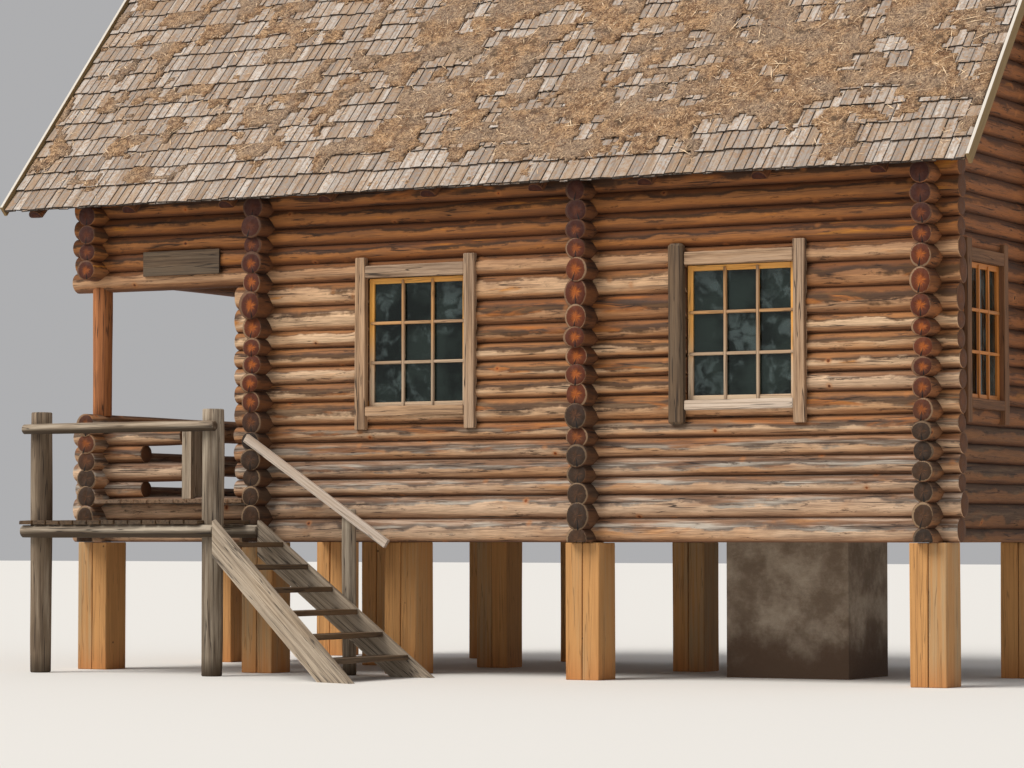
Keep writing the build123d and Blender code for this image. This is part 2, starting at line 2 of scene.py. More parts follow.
# # A log cabin on piers
#
# This lesson dresses a construction model of a log cabin: round logs with their end grain, split shingles
# under fallen needles, small-paned windows, a porch, a landing and a stair. The construction model gives
# every size and place, so the first step is to load it and to keep its box.

# %% Load the construction model
import bpy
import numpy as np
from math import acos, cos, degrees, pi, radians, sin, tan
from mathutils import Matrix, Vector


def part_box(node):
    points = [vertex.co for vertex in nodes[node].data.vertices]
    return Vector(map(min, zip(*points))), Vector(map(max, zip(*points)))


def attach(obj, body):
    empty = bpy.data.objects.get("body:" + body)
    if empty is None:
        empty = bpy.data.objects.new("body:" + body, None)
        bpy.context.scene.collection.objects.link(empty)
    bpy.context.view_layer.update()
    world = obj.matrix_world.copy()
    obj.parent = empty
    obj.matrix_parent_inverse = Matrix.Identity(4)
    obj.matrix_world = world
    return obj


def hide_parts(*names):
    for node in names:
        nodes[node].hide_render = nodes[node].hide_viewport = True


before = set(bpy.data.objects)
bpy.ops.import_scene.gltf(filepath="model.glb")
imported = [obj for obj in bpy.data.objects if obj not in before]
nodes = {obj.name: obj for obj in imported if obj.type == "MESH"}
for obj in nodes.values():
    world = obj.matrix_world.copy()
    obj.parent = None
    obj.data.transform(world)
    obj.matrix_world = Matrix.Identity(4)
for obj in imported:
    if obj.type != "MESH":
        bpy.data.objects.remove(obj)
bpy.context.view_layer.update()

# %% [markdown]
# The walls' axes are the middles of their logs, and everything else is measured from them. The course pitch
# is the height of the front wall shared among its courses.

# %% Axes and courses
wall_courses = 18
log_radius = 0.1


def middle(node, axis):
    """The middle of a node's box along an axis."""
    low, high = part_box(node)
    return (low[axis] + high[axis]) / 2


front_y = middle("front_wall_logs", 1)
middle_y = (front_y + middle("back_wall_logs", 1)) / 2
right_x = middle("right_gable_logs", 0)
sill_low, wall_high = (corner.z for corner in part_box("front_wall_logs"))
course = (wall_high - sill_low) / wall_courses
print("course", round(course, 4), "front", round(front_y, 3), "right gable", round(right_x, 3))

# %% [markdown]
# The roof's slope and its faces come from the slab that stands for it. Its largest upward face gives the
# pitch, and the distances of its top and its underside along that face's normal give its thickness.

# %% Roof planes
roof_mesh = nodes["front_roof_slope"].data
roof_face = max(roof_mesh.polygons, key=lambda face: face.area * (face.normal.z > 0))
roof_normal = np.array(roof_face.normal)
pitch = acos(roof_normal[2])
up_slope = np.array([0.0, cos(pitch), sin(pitch)])
roof_reach = np.array([vertex.co for vertex in roof_mesh.vertices]) @ roof_normal
roof_top, roof_under = roof_reach.max(), roof_reach.min()
mirror = np.array([1, -1, 1])
back_shift = 2 * middle_y
print("pitch", round(degrees(pitch), 2), "thickness", round(roof_top - roof_under, 4))

# %% [markdown]
# ## Shader maths as Python
#
# A material is a graph of nodes. Wrapping a socket in a small class lets an expression such as
# `1 - mask * 0.5` add its Math nodes by itself, and one method makes every other node: it takes the node's
# type, its settings and the values or links of its sockets.


# %% Sockets that can be added and multiplied
class Link:
    """An output socket that can stand in an expression."""

    def __init__(self, maker, socket):
        self.maker, self.socket = maker, socket

    def math(self, operation, *values):
        """A Math node, of this socket alone if no values are given."""
        return self.maker.node("ShaderNodeMath", {"operation": operation}, dict(enumerate(values or [self])))

    def __add__(self, other):
        return self.math("ADD", self, other)

    def __sub__(self, other):
        return self.math("SUBTRACT", self, other)

    def __rsub__(self, other):
        return self.math("SUBTRACT", other, self)

    def __mul__(self, other):
        return self.math("MULTIPLY", self, other)

    __radd__ = __add__
    __rmul__ = __mul__

    def step(self, low, high, start=0.0, end=1.0):
        """A smooth step from start to end as the value goes from low to high."""
        settings = {"interpolation_type": "SMOOTHSTEP", "clamp": True}
        return self.maker.node("ShaderNodeMapRange", settings, dict(enumerate([self, low, high, start, end])))

    def part(self, axis):
        """One of the three numbers of a vector."""
        return self.maker.node("ShaderNodeSeparateXYZ", None, {0: self}, axis)


def paint(colour):
    """A screen colour, given as 0 to 255, in the shader's linear numbers. A socket stays as it is."""
    return colour if isinstance(colour, Link) else tuple((part / 255) ** 2.2 for part in colour) + (1.0,)


# %% A maker of nodes
class Maker:
    """Makes the nodes of one material."""

    def __init__(self, name):
        self.material = bpy.data.materials.new(name)
        self.material.use_nodes = True
        self.tree = self.material.node_tree
        self.tree.nodes.clear()

    def node(self, kind, settings=None, inputs=None, output=0):
        made = self.tree.nodes.new(kind)
        for key, value in (settings or {}).items():
            setattr(made, key, value)
        for key, value in (inputs or {}).items():
            if isinstance(value, Link):
                self.tree.links.new(value.socket, made.inputs[key])
            else:
                made.inputs[key].default_value = value
        return Link(self, made.outputs[output])

    def fact(self, name):
        """A fact that the mesh carries: a vector for wood, and a number for the others."""
        return self.node("ShaderNodeAttribute", {"attribute_name": name}, None, 1 if name == "wood" else 2)

    def spot(self):
        """The place of the point on the cabin."""
        return self.node("ShaderNodeTexCoord", output=3)

    def facing(self, axis=2):
        """How far the surface turns towards an axis."""
        return self.node("ShaderNodeNewGeometry", output=1).part(axis)

    def noise(self, vector, scale=1.0, detail=4.0, roughness=0.55, distortion=0.0):
        values = {"Vector": vector, "Scale": scale, "Detail": detail, "Roughness": roughness}
        return self.node("ShaderNodeTexNoise", None, {**values, "Distortion": distortion})

    def grain(self, place, along, across, *more):
        """Noise whose cells are as many to the metre as is given along and across the wood."""
        values = {0: place, 1: (along, across, across)}
        return self.noise(self.node("ShaderNodeVectorMath", {"operation": "MULTIPLY"}, values), 1.0, *more)

    def cells(self, vector, scale):
        """The distance to the nearest of scattered points."""
        return self.node("ShaderNodeTexVoronoi", {"feature": "F1"}, {"Vector": vector, "Scale": scale})

    def mix(self, factor, first, second):
        settings = {"data_type": "RGBA", "blend_type": "MIX", "clamp_factor": True}
        return self.node("ShaderNodeMix", settings, {0: factor, 6: paint(first), 7: paint(second)}, 2)

    def layers(self, colour, *coats):
        """A colour under coats, each given by its mask and its own colour."""
        for mask, coat in coats:
            colour = self.mix(mask, colour, coat)
        return colour

    def bump(self, height, distance, strength=0.8):
        values = {"Height": height, "Distance": distance, "Strength": strength}
        return self.node("ShaderNodeBump", None, values)

    def finish(self, colour, roughness, normal=None, **more):
        values = {"Base Color": paint(colour), "Roughness": roughness, **more}
        if normal is not None:
            values["Normal"] = normal
        shader = self.node("ShaderNodeBsdfPrincipled", None, values)
        out = self.tree.nodes.new("ShaderNodeOutputMaterial")
        self.tree.links.new(shader.socket, out.inputs[0])
        return self.material


# %% [markdown]
# ## Wood
#
# Every piece of wood here carries three facts on its mesh: `wood`, the place of each point along and across
# the piece, `tone`, a number of its own for each piece, and `cut`, which is 1 on sawn ends; on the shingles
# it holds painted shade on their sides, rims and ends instead. Noise that is stretched along the first of the
# `wood` numbers is grain, whichever way the piece lies.


# %% Grain and cracks
def grain_of(maker, place, along=1.3, across=26.0):
    """Streaks along the wood, and fine lines in them."""
    return maker.grain(place, along, across, 6.0, 0.62), maker.grain(place, along * 5, across * 8, 3.0)


def checks_of(maker, place, density=15.0):
    """Long thin drying cracks: narrow bands where a stretched noise passes its middle value."""
    line = maker.grain(place, 0.55, density, 2.0)
    return (line - 0.5).math("ABSOLUTE").step(0.004, 0.014, 1.0, 0.0)


# %% [markdown]
# The round logs need the most care. On the real wall each log is dark grey or brown on top, where dust and
# rain lie, pale tan where it faces out, and orange below, and next to its seams, above and below, it carries
# painted shade. Low courses are bleached by splashing rain, and the high ones, under the eave, keep their
# warm brown, painted darker still with the shade of the eave. The knots sit on rays from the heart of the
# log.

# %% Log wood
# The rows are the pale, the dusty and the light colour of a log's side. Each row gives it in the middle of
# the wall, under the eave and near the floor. The darker colours under the eave are partly the brown of
# sheltered wood and partly painted shade of the eave.
open_shades = (
    ((240, 202, 162), (176, 114, 62), (222, 188, 156)),
    ((88, 64, 42), (60, 40, 24), (108, 98, 88)),
    ((140, 110, 80), (96, 66, 40), (198, 188, 174)),
)
# The sheltered rows, for the gable and the cross walls, are browner for their shelter and darker with painted
# shade, as these logs face away from the sun.
sheltered_shaded_colours = (
    ((160, 100, 58), (160, 100, 58), (140, 96, 62)),
    ((92, 58, 36), (92, 58, 36), (84, 64, 48)),
    ((124, 80, 48), (124, 80, 48), (122, 98, 76)),
)


def log_sides_of(maker, place, tone, low, high, sheltered_and_shaded):
    """The colour of a log's round side, by height on the wall and by which way it faces."""
    streak, fine = grain_of(maker, place)
    facing = maker.facing()
    wander = maker.grain(place, 2.2, 3.0, 5.0, 0.6)
    shades = sheltered_shaded_colours if sheltered_and_shaded else open_shades
    pale, dusty, light = (maker.layers(mid, (high, upper), (low, lower)) for mid, upper, lower in shades)
    if not sheltered_and_shaded:
        browned = (maker.grain(place, 0.9, 2.0, 2.0) + (tone - 0.5) * 0.2).step(0.45, 0.7, 0.0, 0.7)
        pale = maker.mix(browned, pale, maker.mix(high, (204, 150, 102), (150, 96, 54)))
    dusty = maker.layers(
        dusty, (streak.step(0.46, 0.66, 0.0, 0.8), light), (streak.step(0.46, 0.32, 0.0, 0.85), (44, 32, 24))
    )
    ragged = (streak - 0.5) * 1.3 + (wander - 0.5) * 1.9 + (tone - 0.5) * 0.7
    side = maker.mix((facing + ragged).step(-0.02, 0.24), pale, dusty)
    if not sheltered_and_shaded:
        seams_warm = (facing + (wander - 0.5) * 1.2).step(0.3, 0.62)
        seams_warm = seams_warm + (facing + (streak - 0.5) * 0.5).step(-0.3, -0.6)
        warm = maker.mix(high, (196, 130, 74), (142, 84, 42))
        side = maker.mix(seams_warm * low.step(0.0, 1.0, 0.65, 0.3), side, warm)

    glow = maker.grain(place, 1.1, 7.0, 5.0, 0.55, 0.8)
    amber = (glow + (tone - 0.5) * 0.14).step(0.58, 0.67) * facing.step(-0.5, -0.1) * facing.step(0.95, 0.6)
    amber = amber * low.step(0.0, 1.0, 0.8, 0.3) * (0.5 if sheltered_and_shaded else 1.0)
    grime = maker.grain(place, 3.4, 20.0, 6.0, 0.75)
    side = maker.layers(
        side,
        (amber, maker.mix(glow.step(0.6, 0.75), (180, 108, 50), (236, 156, 54))),
        # Painted shade next to the seams: on the undersides of the logs, and at their very tops where the log
        # above meets them.
        ((facing + (streak - 0.5) * 0.4).step(-0.5, -0.9) * 0.85, (96, 54, 28)),
        ((facing + (streak - 0.5) * 0.3).step(0.7, 0.95) * 0.7, (40, 28, 20)),
        (streak.step(0.36, 0.6, 0.4, 0.0), (84, 54, 34)),
        (fine.step(0.38, 0.6, 0.34, 0.0), (84, 54, 34)),
        (grime.step(0.575, 0.65, 0.0, 0.75), (54, 36, 24)),
    )
    return side, streak, fine


def knots_of(maker, place, ray, tone, fine):
    """Knots on rays from the heart of the log, as masks from the halo inwards."""
    turned_out = {"X": place.part(0) * 2.8 + tone * 37.0, "Y": ray.part(1) * 0.28, "Z": ray.part(2) * 0.28}
    spread = maker.node("ShaderNodeCombineXYZ", None, turned_out)
    away = maker.cells(spread, 1.5) + (fine - 0.5) * 0.02
    some = maker.noise(spread, 0.9, 0.0).step(0.44, 0.5)
    rings = ((0.08, 0.2, 0.45, 0.0), (0.06, 0.085, 1.0, 0.0), (0.03, 0.05, 0.8, 0.0))
    return [away.step(*limits) * some for limits in rings]


def log_ends_of(maker, ray, radius, tone, fine, low, shade):
    """The colour of a sawn end: red-brown heartwood, an orange star, one drying crack and a pale rim."""
    rings = (radius * 760.0 + fine * 4.0 + tone * 20.0).math("SINE") * 0.5 + 0.5
    swirl = maker.noise(ray, 3.2, 3.0)
    star = (swirl * 0.06 - radius + (fine - 0.5) * 0.02).step(-0.022, 0.012)
    rays = (swirl + (fine - 0.5) * 0.6).step(0.46, 0.68) * radius.step(0.075, 0.015)
    rim = (radius + (fine - 0.5) * 0.012 + (swirl - 0.5) * 0.02).step(0.089, 0.094)
    rim = rim * tone.step(0.1, 0.8, 0.3, 0.8) * shade.step(0.0, 1.0, 0.9, 0.2)
    angle = tone * 0.7 - 1.92
    toward = maker.node("ShaderNodeCombineXYZ", None, {"Y": angle.math("COSINE"), "Z": angle.math("SINE")})
    split = maker.node("ShaderNodeVectorMath", {"operation": "DOT_PRODUCT"}, {0: ray, 1: toward}, 1)
    crack = (split + (fine - 0.5) * 0.004).step(0.996, 0.9988) * radius.step(0.004, 0.02)
    hair = maker.noise(ray, 9.0, 2.0).step(0.62, 0.7) * radius.step(0.01, 0.05)
    face = maker.layers(
        maker.mix(tone, (72, 28, 8), (106, 50, 18)),
        (star * 0.75, (170, 84, 26)),
        (rays * 0.55, (216, 128, 36)),
        (shade * 0.9, (58, 22, 7)),
        (low, maker.mix(rays * 0.45, maker.mix(tone, (42, 32, 22), (70, 48, 28)), (132, 84, 46))),
        (rings * 0.3, (52, 28, 16)),
        (rim, (158, 130, 100)),
        (hair * 0.45, (44, 26, 16)),
        (crack, (14, 9, 7)),
    )
    return face, rings * 0.2 - crack * 1.2 - hair * 0.5


def log_material(name, sheltered_and_shaded=False, painted_shade=0.0):
    """Peeled, weathered logs with end grain. Sheltered logs stay brown and carry painted shade; the last
    argument adds more.
    """
    maker = Maker(name)
    place, tone, cut = map(maker.fact, ("wood", "tone", "cut"))
    height = maker.spot().part(2)
    shifted = height + (tone - 0.5) * 0.7
    low, high = shifted.step(2.75, 2.0), shifted.step(3.1, 3.75)
    flat = maker.node("ShaderNodeCombineXYZ", None, {"Y": place.part(1), "Z": place.part(2)})
    ray = maker.node("ShaderNodeVectorMath", {"operation": "NORMALIZE"}, {0: flat})
    radius = maker.node("ShaderNodeVectorMath", {"operation": "LENGTH"}, {0: flat}, 1)
    side, streak, fine = log_sides_of(maker, place, tone, low, high, sheltered_and_shaded)
    halo, knot, heart = knots_of(maker, place, ray, tone, fine)
    checks = checks_of(maker, place) * streak.step(0.5, 0.42)
    side = maker.layers(
        side,
        (halo, (186, 120, 66)),
        (knot, maker.mix(tone, (80, 46, 28), (176, 96, 42))),
        (heart, (52, 28, 18)),
        (checks * 0.85, (34, 23, 16)),
        # Painted shade over the sides of logs that face away from the sun.
        (painted_shade, (44, 29, 20)),
    )
    face, face_relief = log_ends_of(maker, ray, radius, tone, fine, low, height.step(3.5, 4.2))
    # Painted shade: sawn ends that face the gable's way, away from the sun, are painted dark brown.
    painted_gable_shade = maker.facing(0).step(0.4, 0.7) * 0.85
    face = maker.mix(painted_gable_shade, face, maker.mix(streak, (78, 48, 30), (120, 78, 48)))
    relief = streak * 0.5 + fine * 0.35 - checks * 0.9 + knot * 0.3 - heart * 0.3
    normal = maker.bump(relief * (1 - cut) + face_relief * cut, 0.006, 0.9)
    return maker.finish(maker.mix(cut, side, face), streak.step(0.3, 0.7, 0.72, 0.92), normal)


log_wood = log_material("log_wood")
# The gable's logs and the cross logs are browner for their shelter and darker with painted shade; the cross
# logs get more painted shade over their sides.
gable_log_wood = log_material("gable_log_wood", sheltered_and_shaded=True)
cross_log_wood = log_material("cross_log_wood", sheltered_and_shaded=True, painted_shade=0.5)

# %% [markdown]
# Sawn timber is simpler: a base colour, a weathered colour that the grain lets through, thin cracks, and
# sawn ends a little darker. The same recipe gives grey boards, tan piers, the oiled wood of the windows and
# the poles of the landing, which are darker on their undersides.


# %% Sawn wood
def sawn_material(name, fresh, worn, dark, wear=0.5, foot=None, nails=0.0, shine=0.8, rough=1.0, under=None):
    """Boards and squared timbers, from fresh to worn by `wear`, with another colour at the foot or below."""
    maker = Maker(name)
    place, tone, cut = map(maker.fact, ("wood", "tone", "cut"))
    streak, fine = grain_of(maker, place, 1.1, 30.0)
    patch = maker.grain(place, 0.8, 6.0, 3.0)
    checks = checks_of(maker, place, 20.0)
    relief = streak * 0.5 + fine * 0.3 - checks * 0.8
    coats = [((streak * 0.9 + patch * 0.8 + tone * 0.5 - 1.1 + wear).step(0.25, 0.75), worn)]
    if foot:
        low, high, foot_colour = foot
        coats.append(((maker.spot().part(2) + patch * 0.5).step(low, high, 1.0, 0.0), foot_colour))
    if under:
        coats.append(((maker.facing() + (patch - 0.5) * 0.8).step(0.3, -0.5), under))
    coats.append((streak.step(0.32, 0.6, 0.6 * rough, 0.0), dark))
    coats.append((fine.step(0.35, 0.6, 0.28 * rough, 0.0), dark))
    if nails:
        spot = maker.cells(place, nails).step(0.02, 0.06, 1.0, 0.0)
        coats.append((spot * 0.9, (48, 30, 20)))
        relief = relief - spot
    coats += [(checks * (0.75 * rough), (34, 24, 18)), (cut * 0.45, dark)]
    return maker.finish(maker.layers(fresh, *coats), shine, maker.bump(relief, 0.004))


sawn = {}
for name, fresh, worn, dark, more in (
    ("grey_boards", (196, 172, 142), (176, 160, 140), (70, 56, 42), {"wear": 0.6}),
    ("casing_boards", (200, 160, 122), (178, 150, 124), (66, 46, 32), {"rough": 1.1}),
    ("dark_timber", (118, 94, 70), (98, 84, 68), (34, 24, 18), {}),
    ("tread_boards", (122, 94, 64), (104, 86, 66), (44, 32, 22), {}),
    # The orange foot of the piers is painted light thrown up from the ground.
    ("pier_timber", (202, 148, 90), (176, 146, 108), (128, 84, 48),
     {"wear": 0.3, "foot": (0.0, 0.6, (186, 118, 62)), "nails": 4.0, "rough": 0.4}),
    ("oiled_sashes", (255, 186, 92), (246, 194, 126), (176, 100, 42),
     {"wear": 0.3, "shine": 0.5, "foot": (2.85, 3.45, (214, 192, 162)), "rough": 0.5}),
    ("window_bars", (206, 152, 94), (170, 136, 104), (104, 74, 50),
     {"wear": 0.45, "foot": (2.85, 3.6, (188, 164, 138)), "rough": 0.6}),
    ("pale_sills", (216, 194, 172), (206, 192, 178), (120, 96, 76), {"rough": 0.7}),
    # The gable's casings and sashes are darker copies: browner for their shelter and darker with painted
    # shade, as the gable faces away from the sun.
    ("sheltered_shaded_casings", (150, 102, 66), (128, 92, 64), (54, 36, 24), {}),
    ("sheltered_shaded_sashes", (212, 132, 58), (190, 126, 70), (120, 66, 28),
     {"wear": 0.3, "shine": 0.5, "rough": 0.5}),
    ("porch_pine", (228, 146, 70), (186, 118, 70), (104, 58, 34), {"wear": 0.45}),
    ("landing_poles", (156, 134, 110), (188, 174, 154), (62, 48, 36), {"wear": 0.6, "under": (66, 52, 34)}),
):
    sawn[name] = sawn_material(name, fresh, worn, dark, **more)

# %% Verge boards
# They are tan on their faces and bleached on top.
verge = Maker("verge_boards")
streak, fine = grain_of(verge, verge.fact("wood"), 1.1, 30.0)
faces_of = verge.mix(streak, (112, 88, 56), (164, 138, 96))
tops_of = verge.mix(streak, (196, 186, 172), (232, 226, 216))
verge_colour = verge.mix(verge.facing().step(0.3, 0.5), faces_of, tops_of)
verge_wood = verge.finish(verge_colour, 0.85, verge.bump(streak + fine * 0.5, 0.003))
print("wood finishes", len(bpy.data.materials))

# %% [markdown]
# ## Carrying a section along a piece
#
# A log, a board, a post and a rafter are all one section carried along a line, with small changes from
# station to station. One helper makes them all, marks their sawn ends, rounds their edges, and slides the
# points that pass a plane back along the piece, as a saw would cut it there.


# %% Bundles
class Bundle:
    """Collects swept pieces, and makes one object of them. Its `rng` draws what varies among them."""

    def __init__(self, seed=0):
        self.rng = np.random.default_rng(seed)
        self.points, self.wood, self.faces, self.tone, self.cut, self.round = [], [], [], [], [], []
        self.count = 0

    def add(self, points, wood, faces, tone, cut, smooth):
        self.points.append(points)
        self.wood.append(wood)
        self.faces += [tuple(index + self.count for index in face) for face in faces]
        self.tone += [tone] * len(faces)
        self.cut += cut
        self.round += [smooth] * len(faces)
        self.count += len(points)

    def build(self, name, material, slot, node):
        """Makes the object, which stands for a node of the construction model."""
        mesh = bpy.data.meshes.new(name)
        mesh.from_pydata(np.vstack(self.points).tolist(), [], self.faces)
        wood = mesh.attributes.new("wood", "FLOAT_VECTOR", "POINT")
        wood.data.foreach_set("vector", np.vstack(self.wood).ravel())
        for fact, values in (("tone", self.tone), ("cut", self.cut)):
            mesh.attributes.new(fact, "FLOAT", "FACE").data.foreach_set("value", values)
        mesh.polygons.foreach_set("use_smooth", self.round)
        mesh.materials.append(material)
        piece = bpy.data.objects.new(name, mesh)
        bpy.context.scene.collection.objects.link(piece)
        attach(piece, "root")
        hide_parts(node)
        print(name, "triangles", sum(len(face) - 2 for face in self.faces))
        return piece


# %% Sweeping
tone_shift = 91.0


def slide(points, axis, planes):
    """Slides the points that pass a plane back along the axis of their piece."""
    for normal, limit in planes:
        over = points @ normal - limit
        beyond = over > 0
        points[beyond] -= np.outer(over[beyond] / (normal @ axis), axis)
    return points


def sweep(
    bundle, place, stations, sections, tone, pith=(0.0, 0.0), planes=(), shelves=(), smooth=True, edge=0.006,
    shape=(1.0, 1.0),
):
    """Carries sections along local X. `place` is a 4 by 4 array, and each section is a loop of Y and Z.

    The grain is laid out in Y and Z divided by `shape`, so that a tall log's rings are tall.
    """
    rows, sides = sections.shape[:2]
    heart = sections.mean(axis=1, keepdims=True)
    reach = np.abs(sections - heart).max()
    sections = sections.copy()
    sections[[0, -1]] = heart[[0, -1]] + (sections[[0, -1]] - heart[[0, -1]]) * (1 - edge / reach)
    skin = np.column_stack([np.repeat(stations, sides), sections.reshape(-1, 2)])
    caps = []
    for row in (0, -1):
        ring = heart[row] + (sections[row] - heart[row]) * 0.5
        caps.append(np.column_stack([np.full(sides + 1, stations[row]), np.vstack([ring, heart[row]])]))
    local = np.vstack([skin, *caps])
    points = slide(local @ place[:3, :3].T + place[:3, 3], place[:3, 0], planes)
    for shelf in shelves:
        points = shelf(points)
    around = [(side, (side + 1) % sides) for side in range(sides)]
    faces = [
        (low + side, low + sides + side, low + sides + after, low + after)
        for low in range(0, (rows - 1) * sides, sides) for side, after in around
    ]
    cut = [0.0] * len(faces)
    first_cap = rows * sides
    for outer, inner, turn in ((0, first_cap, 1), (first_cap - sides, first_cap + sides + 1, -1)):
        for side, after in around:
            quad = (outer + side, outer + after, inner + after, inner + side)
            fan = (inner + side, inner + after, inner + sides)
            faces += [quad[::turn], fan[::turn]]
            cut += [1.0, 1.0]
    wood = (local - np.array([0.0, pith[0], pith[1]])) / np.array([1.0, *shape])
    wood[:, 0] += tone * tone_shift
    bundle.add(points, wood, faces, tone, cut, smooth)


def turned(direction, origin=(0.0, 0.0, 0.0)):
    """A place whose local X is the direction, with local Z as near to up as it can be."""
    forward = np.array(direction, float) / np.linalg.norm(direction)
    up = np.array([0.0, 0.0, 1.0]) if abs(forward[2]) < 0.9 else np.array([0.0, -1.0, 0.0])
    side = np.cross(up, forward)
    side /= np.linalg.norm(side)
    place = np.eye(4)
    place[:3, 0], place[:3, 1], place[:3, 2], place[:3, 3] = forward, side, np.cross(forward, side), origin
    return place


# %% [markdown]
# The solids of a node say where each log or board lies. Their corners are joined again by place, because the
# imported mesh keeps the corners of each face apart, and every connected set gives one box.


# %% Solids of a node
def joined(node):
    """A node's points with those at one place joined, its faces, and the number of each point's solid."""
    mesh = nodes[node].data
    corners = np.array([vertex.co for vertex in mesh.vertices])
    keys = np.round(corners * 20000).astype(np.int64)
    _, first, same = np.unique(keys, axis=0, return_index=True, return_inverse=True)
    same = same.ravel()
    parent = list(range(len(first)))

    def root(index):
        while parent[index] != index:
            parent[index] = parent[parent[index]]
            index = parent[index]
        return index

    for edge in mesh.edges:
        parent[root(same[edge.vertices[0]])] = root(same[edge.vertices[1]])
    faces = [tuple(same[index] for index in face.vertices) for face in mesh.polygons]
    return corners[first], faces, np.array([root(index) for index in range(len(first))])


def solids_of(node):
    """The boxes of a node's separate solids, from low to high and then along X and Y."""
    points, _, owner = joined(node)
    groups = [points[owner == number] for number in np.unique(owner)]
    boxes = [(group.min(axis=0), group.max(axis=0)) for group in groups]
    return sorted(boxes, key=lambda box: (round(box[0][2], 2), round(box[0][0], 2), round(box[0][1], 2)))


# %% [markdown]
# ## Round logs
#
# A peeled log is never a cylinder. It tapers, bows a little, is slightly oval, and its ends are hewn thinner
# where it passes the corner. The window and door frames say where a log is sawn off, and where only its top
# or its underside is hewn flat.

# %% Log sections and cuts
log_sides = 22
station_step = 0.16
corner_reach = 0.27
shortest_run = 0.02


def round_sections(stations, radius, rng, sides=log_sides, hewn=0.1, tall=1.0):
    """The sections of a peeled log at its stations, taller than wide by a share."""
    phase = rng.uniform(0, 2 * pi, 7)
    around = np.linspace(0, 2 * pi, sides, endpoint=False)
    length = stations[-1] - stations[0]
    along = (stations - stations[0])[:, None]
    swell = 1 + 0.022 * np.sin(along * pi / max(length, 1.0) + phase[0])
    swell = swell + 0.012 * np.sin(along * 4.1 + phase[1])
    oval = 1 + 0.018 * np.cos(2 * around + phase[2] + 0.25 * along)
    oval = oval + 0.01 * np.cos(3 * around + phase[3] - 0.6 * along)
    oval = oval + 0.006 * np.cos(5 * around + phase[4] + 1.4 * along)
    at_end = np.clip(1 - np.minimum(along, length - along) / corner_reach, 0, 1)
    neck = 1 - hewn * rng.uniform(0.2, 1.0) * at_end
    size = radius * swell * oval * neck
    bow = 0.005 * np.sin(along * 1.2 + phase[5])
    aside = bow + rng.uniform(-0.008, 0.008) * at_end
    return np.stack([size * np.cos(around) + aside, size * tall * np.sin(around) + bow * 0.4], axis=2)


def stations_of(start, end, stops=(), step=station_step, edge=0.008):
    """Evenly spaced stations, with a pair at each edge of a cut and one close to each end."""
    count = max(2, round((end - start) / step))
    places = set(np.linspace(start + edge, end - edge, count)) | {start, end}
    for stop in stops:
        if start + edge < stop < end - edge:
            places |= {stop - 0.001, stop + 0.001}
    return np.array(sorted(places))


def shelf(axis, low, high, top=None, bottom=None):
    """Hews a log flat between two places along it: down to a top, or up to a bottom."""

    def hew(points):
        inside = (points[:, axis] > low) & (points[:, axis] < high)
        if top is not None:
            points[inside, 2] = np.minimum(points[inside, 2], top)
        if bottom is not None:
            points[inside, 2] = np.maximum(points[inside, 2], bottom)
        return points

    return hew


def runs_of(start, end, height, voids):
    """The lengths that the openings leave of a log, and the openings that only notch it."""
    runs, notches = [(start, end)], []
    for low, high, bottom, top in voids:
        if bottom - log_radius < height < bottom or top < height < top + log_radius:
            notches.append((low, high, bottom, top))
        if bottom <= height <= top:
            pieces = []
            for first, last in runs:
                pieces += [(first, min(last, low)), (max(first, high), last)]
            runs = [(first, last) for first, last in pieces if last - first > shortest_run]
    return runs, notches


# %% Heights of the seams
log_shares = [
    1.16, 1.18, 0.87, 0.95, 0.94, 0.89, 1.18, 0.93, 0.91,
    0.94, 0.88, 1.24, 1.24, 0.98, 0.94, 0.91, 1.01, 1.0,
]
even_seams = sill_low + course * np.arange(wall_courses + 1)
seams = sill_low + (wall_high - sill_low) * np.concatenate([[0.0], np.cumsum(log_shares)]) / sum(log_shares)
print("thinnest log", round(np.diff(seams).min(), 3), "thickest", round(np.diff(seams).max(), 3))


def seam(height):
    """Where a height on evenly coursed walls comes to lie on walls of thick and thin logs."""
    return np.interp(height, even_seams, seams) if sill_low < height < wall_high else height


# %% Logs of a wall
far = 99.0
roof_gap, ridge_gap = 0.004, 0.03
ridge_under = roof_under / cos(pitch) + middle_y * tan(pitch)
roof_planes = [
    (roof_normal, roof_under - roof_gap),
    (roof_normal * mirror, roof_under - roof_gap - roof_normal[1] * back_shift),
]
outermost = 0.02
pith_off = 0.006
end_share = 0.92


